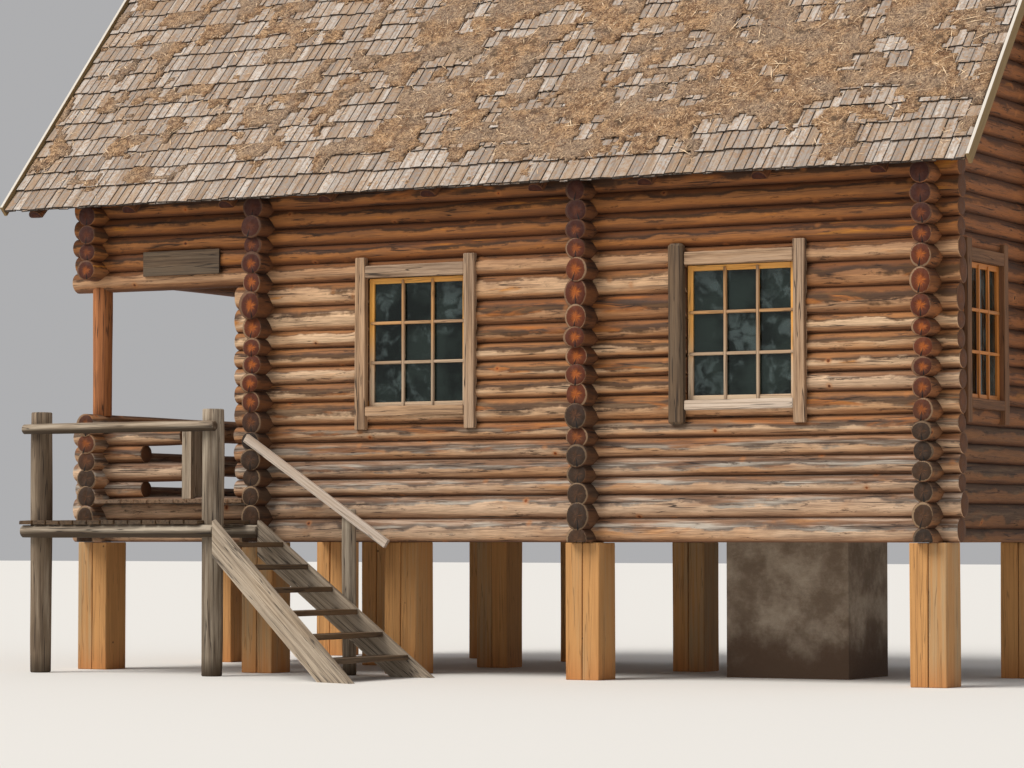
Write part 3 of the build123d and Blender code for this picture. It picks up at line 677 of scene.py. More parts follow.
def log_bundle(
    node, axis, seed, voids, to_roof=False, radius=log_radius, spread=0.003, hewn=0.08, shorter=0.0,
):
    """Round logs in the places of a node's solids."""
    bundle = Bundle(seed)
    outer_low, outer_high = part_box(node)
    rng = bundle.rng
    for low, high in solids_of(node):
        on_piers = abs(low[2] - sill_low) < 0.01
        even = high[2] - course / 2 if on_piers else low[2] + course / 2
        above, below = seam(even + course / 2), seam(even - course / 2)
        height = (above + below) / 2
        runs, notches = runs_of(low[axis], high[axis], height, voids)
        tone = rng.uniform()
        size = radius + rng.uniform(-spread, spread)
        tall = (above - below) / course
        shelves = [shelf(axis, -far, far, bottom=sill_low)]
        for first, last, bottom, top in notches:
            flat = {"top": bottom} if height < bottom else {"bottom": top}
            shelves.append(shelf(axis, first, last, **flat))
        if to_roof:
            shelves.append(shelf(axis, -far, far, top=ridge_under - ridge_gap))
        origin = np.array([0.0, 0.0, height])
        origin[1 - axis] = (low[1 - axis] + high[1 - axis]) / 2
        place = turned(np.eye(3)[axis], origin)
        meets_roof = to_roof and height >= wall_high - log_radius
        for start, end in runs:
            if start - outer_low[axis] < outermost and not meets_roof:
                start += rng.uniform(0.002, 0.045)
            if outer_high[axis] - end < outermost and not meets_roof:
                end -= rng.uniform(0.002, 0.035) + shorter
            stations = stations_of(start, end, [stop for notch in notches for stop in notch[:2]])
            pith = rng.uniform(-pith_off, pith_off, 2)
            sections = round_sections(stations, size, rng, hewn=hewn, tall=tall)
            planes = roof_planes if to_roof else ()
            shape = (size * end_share / log_radius, size * tall * end_share / log_radius)
            sweep(bundle, place, stations, sections, tone, pith, planes, shelves, shape=shape)
    return bundle


# %% [markdown]
# Each row of the table is a wall or a column of logs: its node, the axis it runs along, the frames that
# leave openings in it, and its wood. The logs of the inner walls are thicker, since only their ends show.

# %% Walls of round logs
lining = 0.012
thick_logs = {"radius": 0.107, "spread": 0.009, "hewn": 0.04}
wall_rows = (
    ("front_wall_logs", 0, "front_window_frames", log_wood, {"shorter": 0.03}),
    ("back_wall_logs", 0, "back_window_frames", log_wood, {}),
    ("right_gable_logs", 1, "gable_window_frames", gable_log_wood, {"to_roof": True}),
    ("partition_logs", 1, "partition_door_frame", cross_log_wood, {"to_roof": True, **thick_logs}),
    ("porch_wall_logs", 1, "entrance_door_frame", cross_log_wood, {"to_roof": True, **thick_logs}),
    ("porch_end_sill_logs", 1, None, log_wood, thick_logs),
    ("porch_end_parapet", 1, None, log_wood, thick_logs),
    ("porch_gable_logs", 1, None, log_wood, {"to_roof": True}),
    ("right_gable_stub_logs", 0, None, gable_log_wood, {}),
    ("porch_front_stub_logs", 0, None, log_wood, {}),
    ("porch_front_rail_logs", 0, None, log_wood, {}),
    ("porch_back_stub_logs", 0, None, log_wood, {}),
)


def voids_from(node, axis):
    """The openings that a node's frames fill, along an axis and in height."""
    return [
        (low[axis] - lining, high[axis] + lining, low[2] - lining, high[2] + lining)
        for low, high in (solids_of(node) if node else [])
    ]


for seed, (node, axis, frames, wood, more) in enumerate(wall_rows, 1):
    logs = log_bundle(node, axis, seed, voids_from(frames, axis), **more)
    logs.build(node.replace("_logs", "") + "_round_logs", wood, "log_wood", node)

# %% [markdown]
# Posts, poles and rafters are thinner logs. Each takes its line from the box of its solid. A rafter lies
# along the slope, and the saw cuts its upper end plumb at the ridge.


# %% Poles
pole_fit = 0.97


def pole_bundle(node, axis, seed, into):
    """Round poles along an axis, in the places of a node's solids, let `into` what they carry."""
    bundle = Bundle(seed)
    rng = bundle.rng
    for low, high in solids_of(node):
        radius = np.delete(high - low, axis).mean() / 2 * pole_fit
        origin = (low + high) / 2
        origin[axis] = 0.0
        stations = stations_of(low[axis] + rng.uniform(0, 0.004), high[axis] + into - rng.uniform(0, 0.004))
        place = turned(np.eye(3)[axis], origin)
        sections = round_sections(stations, radius, rng, sides=18, hewn=0.05)
        tone, pith = rng.uniform(), rng.uniform(-pith_off, pith_off, 2)
        sweep(bundle, place, stations, sections, tone, pith, edge=0.008)
    return bundle


for seed, (node, axis, name, wood, into) in enumerate((
    ("porch_corner_posts", 2, "porch_round_posts", "porch_pine", 0.07),
    ("ridge_beam", 0, "ridge_log", None, 0.0),
    ("landing_posts", 2, "landing_round_posts", "landing_poles", 0.0),
    ("landing_beams", 0, "landing_poles", "landing_poles", 0.0),
    ("landing_rail", 0, "landing_rail_pole", "landing_poles", 0.0),
    ("stair_newel", 2, "stair_newel_post", "landing_poles", 0.0),
), 31):
    pole_bundle(node, axis, seed, into).build(name, sawn[wood] if wood else log_wood, "log_wood", node)

# %% Rafters
rafter_fit, rafter_drop, tail_cut = 0.93, 0.98, 0.03


def rafter_bundle(seed):
    """Round rafters along the front slope."""
    bundle = Bundle(seed)
    for low, high in solids_of("front_rafters"):
        radius = (high[0] - low[0]) / 2 * rafter_fit
        across = roof_under - roof_gap - (high[0] - low[0]) / 2 * rafter_drop
        first_y = low[1] + radius * sin(pitch) + 0.002
        first = (first_y - across * roof_normal[1]) / cos(pitch)
        last = (middle_y - across * roof_normal[1]) / cos(pitch) + radius
        origin = np.array([(low[0] + high[0]) / 2, 0.0, 0.0]) + across * roof_normal
        place = turned(up_slope, origin)
        stations = stations_of(first, last)
        sections = round_sections(stations, radius, bundle.rng, sides=16, hewn=0.03)
        tone = bundle.rng.uniform()
        plumb = [(np.array([0.0, 1.0, 0.0]), middle_y - 0.001)]
        tail = shelf(1, -far, front_y - log_radius, bottom=low[2] + tail_cut)
        sweep(bundle, place, stations, sections, tone, planes=plumb, shelves=[tail], edge=0.008)
    return bundle


def to_back(bundle):
    """The same bundle on the other side of the ridge."""
    bundle.points = [points * mirror + (0, back_shift, 0) for points in bundle.points]
    bundle.faces = [face[::-1] for face in bundle.faces]
    return bundle


rafter_bundle(41).build("front_round_rafters", cross_log_wood, "log_wood", "front_rafters")
to_back(rafter_bundle(42)).build("back_round_rafters", cross_log_wood, "log_wood", "back_rafters")

# %% [markdown]
# ## Boards and squared timbers
#
# A board is a chamfered section carried along its grain. Its corners wander by a millimetre or two, because
# these boards were split or sawn by hand.


# %% Boards
def board(bundle, low, high, axis, chamfer=0.004, wander=0.0015, step=0.3):
    """A board that fills a box, with its grain along an axis."""
    rng = bundle.rng
    low, high = np.array(low, float), np.array(high, float)
    origin = (low + high) / 2
    origin[axis] = 0.0
    place = turned(np.eye(3)[axis], origin)
    half = np.abs(place[:3, 1:3].T @ (high - low)) / 2
    stations = stations_of(low[axis], high[axis], step=step, edge=chamfer)
    sections = board_sections(stations, half - wander, chamfer, wander, rng)
    tone = rng.uniform()
    pith = (half[0] * rng.uniform(-1, 1), half[1] * 3 + 0.03)
    sweep(bundle, place, stations, sections, tone, pith, smooth=False, edge=chamfer)


def board_sections(stations, half, chamfer, wander, rng):
    """Chamfered rectangles, whose corners wander along the board."""
    (wide, thick), (flat, deep) = half, half - chamfer
    corners = [
        (wide, -deep), (wide, deep), (flat, thick), (-flat, thick),
        (-wide, deep), (-wide, -deep), (-flat, -thick), (flat, -thick),
    ]
    base = np.repeat(np.array(corners)[None], len(stations), axis=0)
    phase = rng.uniform(0, 2 * pi, (2, 4))
    along = (stations - stations[0])[:, None]
    for axis in (0, 1):
        for corner in range(4):
            picked = [(2 * corner + 1) % 8, (2 * corner + 2) % 8]
            base[:, picked, axis] += wander * np.sin(along * 2.3 + phase[axis, corner])
    return base


# %% [markdown]
# Each pier is two squared timbers side by side, with the joint between them in the face that looks out.


# %% Piers
half_joint = 0.001


def piers(node, seed):
    """Pairs of timbers in the places of a node's solids."""
    bundle = Bundle(seed)
    for low, high in solids_of(node):
        joint = (low[0] + high[0]) / 2
        for start, end in ((low[0], joint - half_joint), (joint + half_joint, high[0])):
            lower = (start, low[1] + bundle.rng.uniform(0, 0.004), low[2])
            upper = (end, high[1], high[2] - bundle.rng.uniform(0, 0.004))
            board(bundle, lower, upper, 2, chamfer=0.006, wander=0.002)
    return bundle


for side, seed in (("front", 51), ("middle", 52), ("back", 53)):
    name = side + "_piers"
    piers(name, seed).build(side + "_pier_timbers", sawn["pier_timber"], "pier_wood", name)

# %% [markdown]
# Planks that are cut at a slant keep the exact outline of their solid: stringers, the handrail, the boards
# of the verge and the ridge. Only the facts for the grain are added, and a bevel modifier rounds the edges.


# %% Planed pieces
def planed(node, direction, seed):
    """The solids of a node as planks whose grain runs along a direction, or along each one's own length."""
    bundle = Bundle(seed)
    points, faces, owner = joined(node)
    for number in np.unique(owner):
        picked = np.nonzero(owner == number)[0]
        place_of = {int(index): row for row, index in enumerate(picked)}
        own = points[picked]
        longest = np.linalg.svd(own - own.mean(axis=0))[2][0]
        frame_of = turned(longest if direction is None else direction)[:3, :3]
        rings = [tuple(place_of[int(index)] for index in face) for face in faces if owner[face[0]] == number]
        tone = bundle.rng.uniform()
        wood = (own - own.mean(axis=0)) @ frame_of + np.array([tone * tone_shift, 0.03, 0.05])
        ends = []
        for ring in rings:
            normal = np.cross(own[ring[1]] - own[ring[0]], own[ring[2]] - own[ring[0]])
            ends.append(float(abs(normal @ frame_of[:, 0]) > 0.8 * np.linalg.norm(normal)))
        bundle.add(own, wood, rings, tone, ends, False)
    return bundle


def bevelled(piece, width=0.004, segments=2):
    """Rounds the edges that turn by more than a third of a right angle."""
    rounding = piece.modifiers.new("rounded_edges", "BEVEL")
    rounding.width = width
    rounding.segments = segments
    rounding.limit_method = "ANGLE"
    rounding.angle_limit = radians(30)
    return piece


for side, slope in (("front", up_slope), ("back", up_slope * mirror)):
    node = side + "_barge_boards"
    bevelled(planed(node, slope, 61).build(side + "_verge_boards", verge_wood, "sawn_wood", node))
for node, name, direction, material in (
    ("ridge_boards", "ridge_capping", (1, 0, 0), "grey_boards"),
    ("stair_stringers", "stair_side_planks", None, "grey_boards"),
    ("stair_treads", "stair_tread_boards", (0, 1, 0), "tread_boards"),
    ("stair_handrail", "stair_hand_plank", None, "pale_sills"),
    ("porch_entry_post", "porch_entry_timber", (0, 0, 1), "grey_boards"),
    ("sign_board", "bare_sign", (1, 0, 0), "dark_timber"),
    ("entrance_door_frame", "entrance_jambs", (0, 0, 1), "casing_boards"),
    ("partition_door_frame", "partition_jambs", (0, 0, 1), "casing_boards"),
    ("entrance_door", "entrance_leaf", (0, 0, 1), "casing_boards"),
    ("floor_joists", "joist_timbers", (0, 1, 0), "casing_boards"),
    ("middle_floor_beams", "middle_beam_timbers", (1, 0, 0), "casing_boards"),
    ("side_floor_beams", "side_beam_timbers", (1, 0, 0), "casing_boards"),
):
    bevelled(planed(node, direction, 62).build(name, sawn[material], "sawn_wood", node))

# %% Landing and floor boards
board_width = 0.15
landing = Bundle(72)
for low, high in solids_of("landing_boards"):
    board(landing, low, high, 1, wander=0.002)
# The landing's boards take the darker tread finish, which paints the shade they lie in.
landing.build("landing_deck_boards", sawn["tread_boards"], "sawn_wood", "landing_boards")


def floor_boards(node, axis):
    """Boards side by side that fill a floor."""
    bundle = Bundle(73)
    low, high = (np.array(corner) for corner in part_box(node))
    count = round((high[1 - axis] - low[1 - axis]) / board_width)
    edges = np.linspace(low[1 - axis], high[1 - axis], count + 1)
    for start, end in zip(edges, edges[1:]):
        first, last = low.copy(), high.copy()
        first[1 - axis], last[1 - axis] = start + half_joint, end - half_joint
        last[2] -= bundle.rng.uniform(0, 0.002)
        board(bundle, first, last, axis, step=1.0)
    return bundle


for node, axis in (("right_room_floor", 0), ("left_room_floor", 0), ("porch_floor", 1)):
    floor_boards(node, axis).build(node + "_boards", sawn["casing_boards"], "sawn_wood", node)

# %% [markdown]
# ## Windows
#
# A sash is four members and the bars between its nine panes. The stiles run through and the rails fit
# between them. Old glass was set pane by pane, so each pane leans by a fraction of a degree, and that is
# what breaks up its reflections. The glass itself is dark, with pale blotches and haze in its colour that are
# a painted reflection and also stand for cloud and dust.

# %% Glass
glass = Maker("window_glass")
# Painted reflection: pale blotches and haze over the dark glass, which also stand for cloud and dust.
cloud = glass.noise(glass.spot(), 2.2, 3.0)
haze = glass.noise(glass.spot(), 7.0, 5.0, 0.6, 0.6) + (glass.fact("tone") - 0.5) * 0.16
painted_reflection_and_dust = ((cloud.step(0.4, 0.6), (40, 50, 46)), (haze.step(0.5, 0.68, 0.0, 0.32), (112, 128, 128)))
window_glass = glass.finish(glass.layers((18, 26, 22), *painted_reflection_and_dust), 0.04, Alpha=0.85)
print("glass", window_glass.name)

# %% Measures of the windows
# The layers say how far behind the face of a window they begin and end.
stile, lining_board, bar = 0.05, 0.03, 0.028
sash_layer, lining_start = (0.012, 0.052), 0.053
upright_layer, level_layer, inner_layer = (0.0, 0.0115), (0.001, 0.0115), (0.0125, 0.03)
bar_gap = bar / 2 + 0.0005
pane_back, pane_thick, pane_lean = 0.034, 0.003, 0.0012
pane_faces = [(0, 1, 2, 3), (7, 6, 5, 4), (0, 4, 5, 1), (1, 5, 6, 2), (2, 6, 7, 3), (3, 7, 4, 0)]
sash_forward = {"front": 0.0, "back": 0.0, "gable": 0.03}
casing_back = 0.029
sill_limit = 2.8
# The second finish of each kind is the gable's; for sashes, bars and casings it is a darker copy that carries
# painted shade.
window_kinds = (
    ("sashes", sawn["oiled_sashes"], sawn["sheltered_shaded_sashes"], "window_wood", "_window_frames"),
    ("window_bars", sawn["window_bars"], sawn["sheltered_shaded_sashes"], "window_wood", "_window_frames"),
    ("panes", window_glass, window_glass, "glass", "_window_glass"),
    ("casings", sawn["casing_boards"], sawn["sheltered_shaded_casings"], "sawn_wood", "_window_casings"),
    ("pale_casings", sawn["pale_sills"], sawn["pale_sills"], "sawn_wood", "_window_casings"),
    ("heavy_casings", sawn["dark_timber"], sawn["dark_timber"], "sawn_wood", "_window_casings"),
)


# %% Sashes, bars and panes
def glazed(bundles, low, high, face, whole, axis, outward):
    """One window: its sash, its linings, its bars outside and inside, and its nine panes."""

    def member(kind, along, heights, layer, grain, chamfer=0.003):
        first, last = np.array([0.0, 0.0, heights[0]]), np.array([0.0, 0.0, heights[1]])
        first[axis], last[axis] = along
        first[1 - axis], last[1 - axis] = sorted(face - outward * depth for depth in layer)
        board(bundles[kind], first, last, grain, chamfer=chamfer, wander=0.0006, step=0.5)

    left, right, bottom, top = low[axis], high[axis], low[2], high[2]
    for wide, layer in ((stile, sash_layer), (lining_board, (lining_start, whole))):
        for along in ((left, left + wide), (right - wide, right)):
            member("sashes", along, (bottom, top), layer, 2)
        for heights in ((bottom, bottom + wide), (top - wide, top)):
            member("sashes", (left + wide, right - wide), heights, layer, axis)
    inner_left, inner_right, inner_low, inner_high = left + stile, right - stile, bottom + stile, top - stile
    columns = inner_left + (inner_right - inner_left) / 3 * np.arange(4)
    rows = inner_low + (inner_high - inner_low) / 3 * np.arange(4)
    for centre in columns[1:3]:
        along = (centre - bar / 2, centre + bar / 2)
        member("window_bars", along, (bottom + 0.006, top - 0.018), upright_layer, 2, 0.005)
        member("window_bars", along, (inner_low, inner_high), inner_layer, 2)
    starts = (left + 0.02, columns[1] + bar_gap, columns[2] + bar_gap)
    ends = (columns[1] - bar_gap, columns[2] - bar_gap, right - 0.02)
    for centre in rows[1:3]:
        heights = (centre - bar / 2, centre + bar / 2)
        for start, end in zip(starts, ends):
            member("window_bars", (start, end), heights, level_layer, axis, 0.004)
            member("window_bars", (max(start, inner_left), min(end, inner_right)), heights, inner_layer, axis)
    for start, end in zip(columns, columns[1:]):
        for bottom_edge, top_edge in zip(rows, rows[1:]):
            lean = bundles["panes"].rng.uniform(-pane_lean, pane_lean, 4)
            points = np.zeros((2, 4, 3))
            points[..., axis] = start, end, end, start
            points[..., 2] = bottom_edge, bottom_edge, top_edge, top_edge
            behind = outward * pane_thick * np.array([[0], [1]])
            points[..., 1 - axis] = face - outward * pane_back + lean - behind
            points = points.reshape(8, 3)
            faces = [ring[::-1] for ring in pane_faces] if (outward > 0) == (axis == 0) else pane_faces
            bundles["panes"].add(points, points, faces, bundles["panes"].rng.uniform(), [0.0] * 6, False)


# %% Windows of a wall
def windows(side, axis, outward, seed):
    """Sashes, bars, panes and casings of the windows of one wall."""
    rng = np.random.default_rng(seed)
    bundles = {kind: Bundle(rng) for kind, *_ in window_kinds}
    across = 1 - axis
    for low, high in solids_of(side + "_window_frames"):
        rear, face = (low[across], high[across])[::outward]
        face += outward * sash_forward[side]
        glazed(bundles, low, high, face, abs(face - rear), axis, outward)
    for low, high in solids_of(side + "_window_casings"):
        upright = high[2] - low[2] > 1.0
        heavy = high[across] - low[across] > 0.06
        inner_side = low if outward > 0 else high
        inner_side[across] -= outward * casing_back
        chamfer, wander = (0.022, 0.004) if heavy else (0.006, 0.002)
        pale = not upright and side == "front" and low[0] > 0 and low[2] < sill_limit
        kind = "heavy_casings" if heavy else "pale_casings" if pale else "casings"
        board(bundles[kind], low, high, 2 if upright else axis, chamfer=chamfer, wander=wander)
    for kind, finish, gable_finish, slot, node in window_kinds:
        finish = gable_finish if side == "gable" else finish
        if bundles[kind].count:
            bundles[kind].build(side + "_" + kind, finish, slot, side + node)


windows("front", 0, -1, 81)
windows("back", 0, 1, 82)
windows("gable", 1, 1, 83)

# %% [markdown]
# ## Roof
#
# The roof is a deck of boards, three layers of split shingles and the needles of years. Each shingle is one
# tapered, slightly crooked piece, thicker at its butt, and it rests on the two rows below it. The needles are
# a low relief over them, grown from seeded noise, thick where they gather and absent from the lowest row.

# %% Deck
deck_thick, deck_inset, deck_gap = 0.022, 0.01, 0.004
roof_low, roof_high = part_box("front_roof_slope")
ridge_along = (middle_y - roof_under * roof_normal[1]) / cos(pitch)
eave_along = (roof_low.y - roof_under * roof_normal[1]) / cos(pitch)
relief_top = roof_top - roof_under
print("slope from", round(eave_along, 3), "to", round(ridge_along, 3))


def on_slope(bundle, back):
    """Moves a bundle, measured along the ridge, up the slope and out of the roof, to its place."""
    slope_axes = np.array([[1, 0, 0], up_slope, roof_normal])
    bundle.points = [points @ slope_axes + roof_normal * roof_under for points in bundle.points]
    return to_back(bundle) if back else bundle


def deck(back, seed):
    """The boards that carry the shingles of one slope."""
    bundle = Bundle(seed)
    along = eave_along + board_width
    while along < ridge_along - 0.01:
        end = min(along + board_width, ridge_along + 0.012)
        low = (roof_low.x + deck_inset, along + deck_gap, 0.001)
        board(bundle, low, (roof_high.x - deck_inset, end - deck_gap, deck_thick), 0, step=1.2)
        along = end
    return on_slope(bundle, back)


# %% Shingle rows
shingle_length, starter_length = 0.5, 0.26
butt_lift, starter_lift = 0.03, 0.012
butt_thick, thin_end, rim = 0.012, 0.005, 0.005
verge_inset, first_butt, last_space = 0.012, 0.095, 0.06
exposures = np.random.default_rng(90).uniform(0.215, 0.25, 40)
exposures[0] = 0.275
butts = eave_along + first_butt + np.concatenate([[0.0], np.cumsum(exposures)])
butts = butts[butts < ridge_along - last_space]
print("shingle rows", len(butts))


def shingle(bundle, across, width, start, end, lift):
    """One split shingle: thick at its butt, thin at its upper end, with painted shade on its sides, ends and
    rims.
    """
    rng = bundle.rng
    skew = rng.uniform(-0.005, 0.005)
    thick = butt_thick * rng.uniform(0.7, 1.05)
    raised = lift + rng.uniform(0, 0.004)
    warp = rng.uniform(-0.002, 0.002, 2)
    tone = rng.uniform()
    gap = rng.uniform(0.0015, 0.004)
    points, wood = [], []
    halfway = ((start + end) / 2, raised * 0.52, thick * 0.8)
    for along, rise, deep in ((start, raised, thick), halfway, (end, 0.001, thin_end)):
        for side, turn, outward in ((gap, warp[0], -1), (width - gap, warp[1], 1)):
            low = deck_thick + max(rise + turn * (rise > 0.01), 0.0)
            shift = -skew * outward * (along == start)
            for inset, height in ((0.0, low), (0.0, low + deep - 0.002), (rim, low + deep)):
                points.append((across + side - outward * inset, along + shift, height))
                wood.append((along + tone * tone_shift, across + side - outward * inset, height - low))
    ring = (0, 1, 2, 5, 4, 3)
    faces, dark = [], []
    for lower in (0, 6):
        # Painted shade through the `cut` fact: the sides and both ends dark, the chamfered rims half dark.
        for corner, shade in enumerate((1.0, 0.5, 0.0, 0.5, 1.0, 0.0)):
            first, second = ring[corner] + lower, ring[(corner + 1) % 6] + lower
            faces.append((first, second, second + 6, first + 6))
            dark.append(shade)
    faces += [ring[::-1], tuple(index + 12 for index in ring)]
    faces = [face[::-1] for face in faces]
    bundle.add(np.array(points), np.array(wood), faces, tone, dark + [1.0, 1.0], False)


def shingles(back, seed):
    """All the rows of one slope, with a short double row under the lowest."""
    bundle = Bundle(seed)
    for number, butt in enumerate([butts[0], *butts]):
        length, lift = (shingle_length, butt_lift) if number else (starter_length, starter_lift)
        low_ragged, high_ragged = (-0.008, 0.01) if number < 2 else (-0.016, 0.012)
        end = min(butt + length, ridge_along + 0.03)
        across = roof_low.x + verge_inset
        while across < roof_high.x - 0.03:
            width = min(bundle.rng.uniform(0.07, 0.125), roof_high.x - verge_inset - across)
            shingle(bundle, across, width, butt + bundle.rng.uniform(low_ragged, high_ragged), end, lift)
            across += width
    return on_slope(bundle, back)


# %% Noise on grids
def smooth(value, low=0.0, high=1.0):
    """A smooth step from 0 to 1."""
    part = np.clip((value - low) / (high - low), 0, 1)
    return part * part * (3 - 2 * part)


def blended(coarse, count, cell):
    """Rows that lie between those of a coarse grid, blended by smooth weights."""
    place = np.arange(count) / cell
    whole = place.astype(int)
    ease = smooth(place - whole)[:, None]
    return coarse[whole] * (1 - ease) + coarse[whole + 1] * ease


def relief_noise(rng, columns, rows, cell):
    """Smooth seeded noise on a grid."""
    coarse = rng.uniform(0, 1, (int(columns / cell) + 3, int(rows / cell) + 3))
    return blended(blended(coarse.T, rows, cell).T, columns, cell)


def row_noise(rng, columns, rows, cell):
    """Smooth noise along each row, with no likeness between rows."""
    return blended(rng.uniform(0, 1, (int(columns / cell) + 3, rows)), columns, cell)


# %% Needle cover
litter_cell = 0.035
row_phases = np.array([0.03, 0.2, 0.4, 0.6, 0.8, 0.97])
step_fill = np.array([0.0, 0.0, 0.001, 0.004, 0.009, 0.014])
row_cover = np.array([0.15, 0.6, 0.9])
butt_bias = np.array([0.2, 0.06, 0.0, 0.0, -0.03, -0.05])
butt_top = butt_lift + butt_thick


def needle_cover(seed):
    """Where needles lie on a slope: a grid of places, how high they reach, and which of them are covered."""
    rng = np.random.default_rng(seed)
    across_low, across_high = roof_low.x + 0.02, roof_high.x - 0.02
    columns = round((across_high - across_low) / litter_cell)
    spaces = len(butts) - 1
    number = np.repeat(np.arange(spaces), len(row_phases))
    down_from_butt = np.tile(row_phases, spaces) * np.diff(butts)[number]
    along = butts[number] + down_from_butt
    across = np.linspace(across_low, across_high, columns)
    rows = len(along)
    clumps = 0.5 * relief_noise(rng, columns, rows, 6) + 0.3 * relief_noise(rng, columns, rows, 2.6)
    clumps += 0.4 * row_noise(rng, columns, spaces, 5)[:, number] + 0.1 * rng.uniform(0, 1, (columns, rows))
    rank = clumps.ravel().argsort().argsort().reshape(columns, rows) / clumps.size
    share = (across - across_low) / (across_high - across_low)
    dense = 0.42 + 0.38 * smooth(share, 0.22, 0.5) - 0.12 * smooth(share, 0.88, 1.0)
    by_row = np.concatenate([row_cover, np.ones(len(butts))])[number]
    depth = dense[:, None] * by_row - rank - np.tile(butt_bias, spaces)
    fluff = 0.5 * relief_noise(rng, columns, rows, 2.2) + 0.5 * rng.uniform(0, 1, (columns, rows))
    thick = 0.002 + smooth(depth, 0.0, 0.3) * (0.004 + 0.011 * fluff + np.tile(step_fill, spaces))
    surface = deck_thick + butt_top - down_from_butt * (butt_top - thin_end) / shingle_length
    height = np.minimum(surface + thick, relief_top - 0.001)
    return across, along, np.where(depth > 0, height, surface), depth > 0


def litter(cover, back):
    """A closed low relief of needles wherever they cover the shingles."""
    across, along, height, shown = cover
    grid = np.stack(np.broadcast_arrays(across[:, None], along, height), axis=2)
    keep = shown[:-1, :-1] & shown[1:, :-1] & shown[:-1, 1:] & shown[1:, 1:]
    used = np.zeros(shown.shape, bool)
    for part in (used[:-1, :-1], used[1:, :-1], used[:-1, 1:], used[1:, 1:]):
        part |= keep
    upper = grid[used]
    count = len(upper)
    index = np.zeros(shown.shape, int)
    index[used] = np.arange(count)
    faces, edges = [], {}
    for column, row in zip(*np.nonzero(keep)):
        ring = tuple(index[column + right, row + up] for right, up in ((0, 0), (1, 0), (1, 1), (0, 1)))
        faces += [ring, tuple(number + count for number in ring[::-1])]
        for start, end in zip(ring, ring[1:] + ring[:1]):
            if (end, start) in edges:
                del edges[(end, start)]
            else:
                edges[(start, end)] = True
    faces += [(end, start, start + count, end + count) for start, end in edges]
    points = np.vstack([upper, upper - (0.0, 0.0, 0.012)])
    bundle = Bundle()
    bundle.add(points, points, faces, 0.5, [0.0] * len(faces), True)
    return on_slope(bundle, back)


# %% Loose needles
needle_count, needles_per_twig = 6000, 60
sliver_faces = [(0, 3, 2), (1, 2, 3), (0, 1, 3), (0, 2, 1)]


def needles(cover, back, seed):
    """Loose needles and a few twigs as thin slivers, which fray the edges of the litter."""
    across, along, height, shown = cover
    bundle = Bundle(seed)
    rng = bundle.rng
    near = shown.copy()
    for shift in (1, 2, 3):
        near[shift:] |= shown[:-shift]
        near[:-shift] |= shown[shift:]
    columns, rows = np.nonzero(near[3:-3, 1:-1])
    for number in range(needle_count):
        spot = rng.integers(len(columns))
        column, row = columns[spot] + 3, rows[spot] + 1
        turn = rng.uniform(0, pi)
        twig = number % needles_per_twig == 0
        length = rng.uniform(0.12, 0.22) if twig else rng.uniform(0.035, 0.1)
        wide = rng.uniform(0.006, 0.01) if twig else rng.uniform(0.004, 0.009)
        forward, aside = np.array([cos(turn), sin(turn), 0.0]), np.array([-sin(turn), cos(turn), 0.0])
        top = min(height[column, row] + 0.005, relief_top - 0.006)
        centre = np.array([across[column], along[row], top]) + (*rng.uniform(-0.02, 0.02, 2), 0.0)
        centre[1] = np.clip(centre[1], butts[0] + 0.06 + length / 2, ridge_along - 0.05 - length / 2)
        rise = np.array([0.0, 0.0, rng.uniform(0.002, 0.004)])
        points = np.array([
            centre - forward * length / 2, centre + forward * length / 2,
            centre + aside * wide / 2 + rise, centre - aside * wide / 2 + rise,
        ])
        bundle.add(points, points, sliver_faces, 1.0 if twig else rng.uniform(), [0.0] * 4, False)
    return on_slope(bundle, back)


# %% [markdown]
# Split shingles weather to silver, each a little different. The litter is tan and orange where it is fresh
# and dark where it rots, with a fine tangled relief that painted shade and painted highlight make stronger.

# %% Shingle wood
split = Maker("split_shingles")
place, tone, cut = map(split.fact, ("wood", "tone", "cut"))
streak, fine = grain_of(split, place, 2.0, 40.0)
shingle_colour = split.layers(
    split.mix(tone, (150, 138, 128), (206, 196, 186)),
    (split.grain(place, 0.8, 6.0, 3.0).step(0.45, 0.65, 0.0, 0.8), (170, 144, 118)),
    (streak.step(0.34, 0.58, 0.5, 0.0), (92, 78, 68)),
    (split.grain(place, 24.0, 34.0, 5.0, 0.7).step(0.58, 0.66, 0.0, 0.6), (196, 158, 122)),
    (split.noise(split.spot(), 26.0, 6.0, 0.8).step(0.5, 0.56, 0.0, 0.7), (156, 122, 92)),
    # Painted shade in the gaps between the shingles and on their butts.
    (cut * 0.9, (34, 25, 19)),
)
shingle_wood = split.finish(shingle_colour, 0.88, split.bump(streak + fine * 0.5, 0.004))

# %% Needle litter
fallen = Maker("needle_litter")
place = fallen.spot()
tangle = fallen.noise(place, 36.0, 5.0, 0.7, 2.0)
mottle = fallen.noise(place, 12.0, 6.0, 0.75)
litter_colour = fallen.layers(
    fallen.mix(mottle.step(0.38, 0.6), (142, 104, 74), (224, 178, 132)),
    (fallen.noise(place, 2.4, 5.0, 0.6).step(0.42, 0.62, 0.0, 0.7), (182, 158, 136)),
    # Painted shade and painted highlight on a fine tangle of needles, which the bump follows.
    (tangle.step(0.53, 0.38, 0.0, 0.85), (74, 50, 34)),
    (tangle.step(0.53, 0.66, 0.0, 0.85), (250, 216, 174)),
    (fallen.noise(place, 7.0, 5.0, 0.7).step(0.55, 0.64, 0.0, 0.7), (92, 74, 58)),
)
litter_finish = fallen.finish(litter_colour, 0.95, fallen.bump(tangle + mottle, 0.03, 1.0))
loose = Maker("dry_needles")
needle_finish = loose.finish(loose.mix(loose.fact("tone"), (142, 98, 66), (240, 210, 172)), 0.9)
print("roof finishes", shingle_wood.name, litter_finish.name, needle_finish.name)

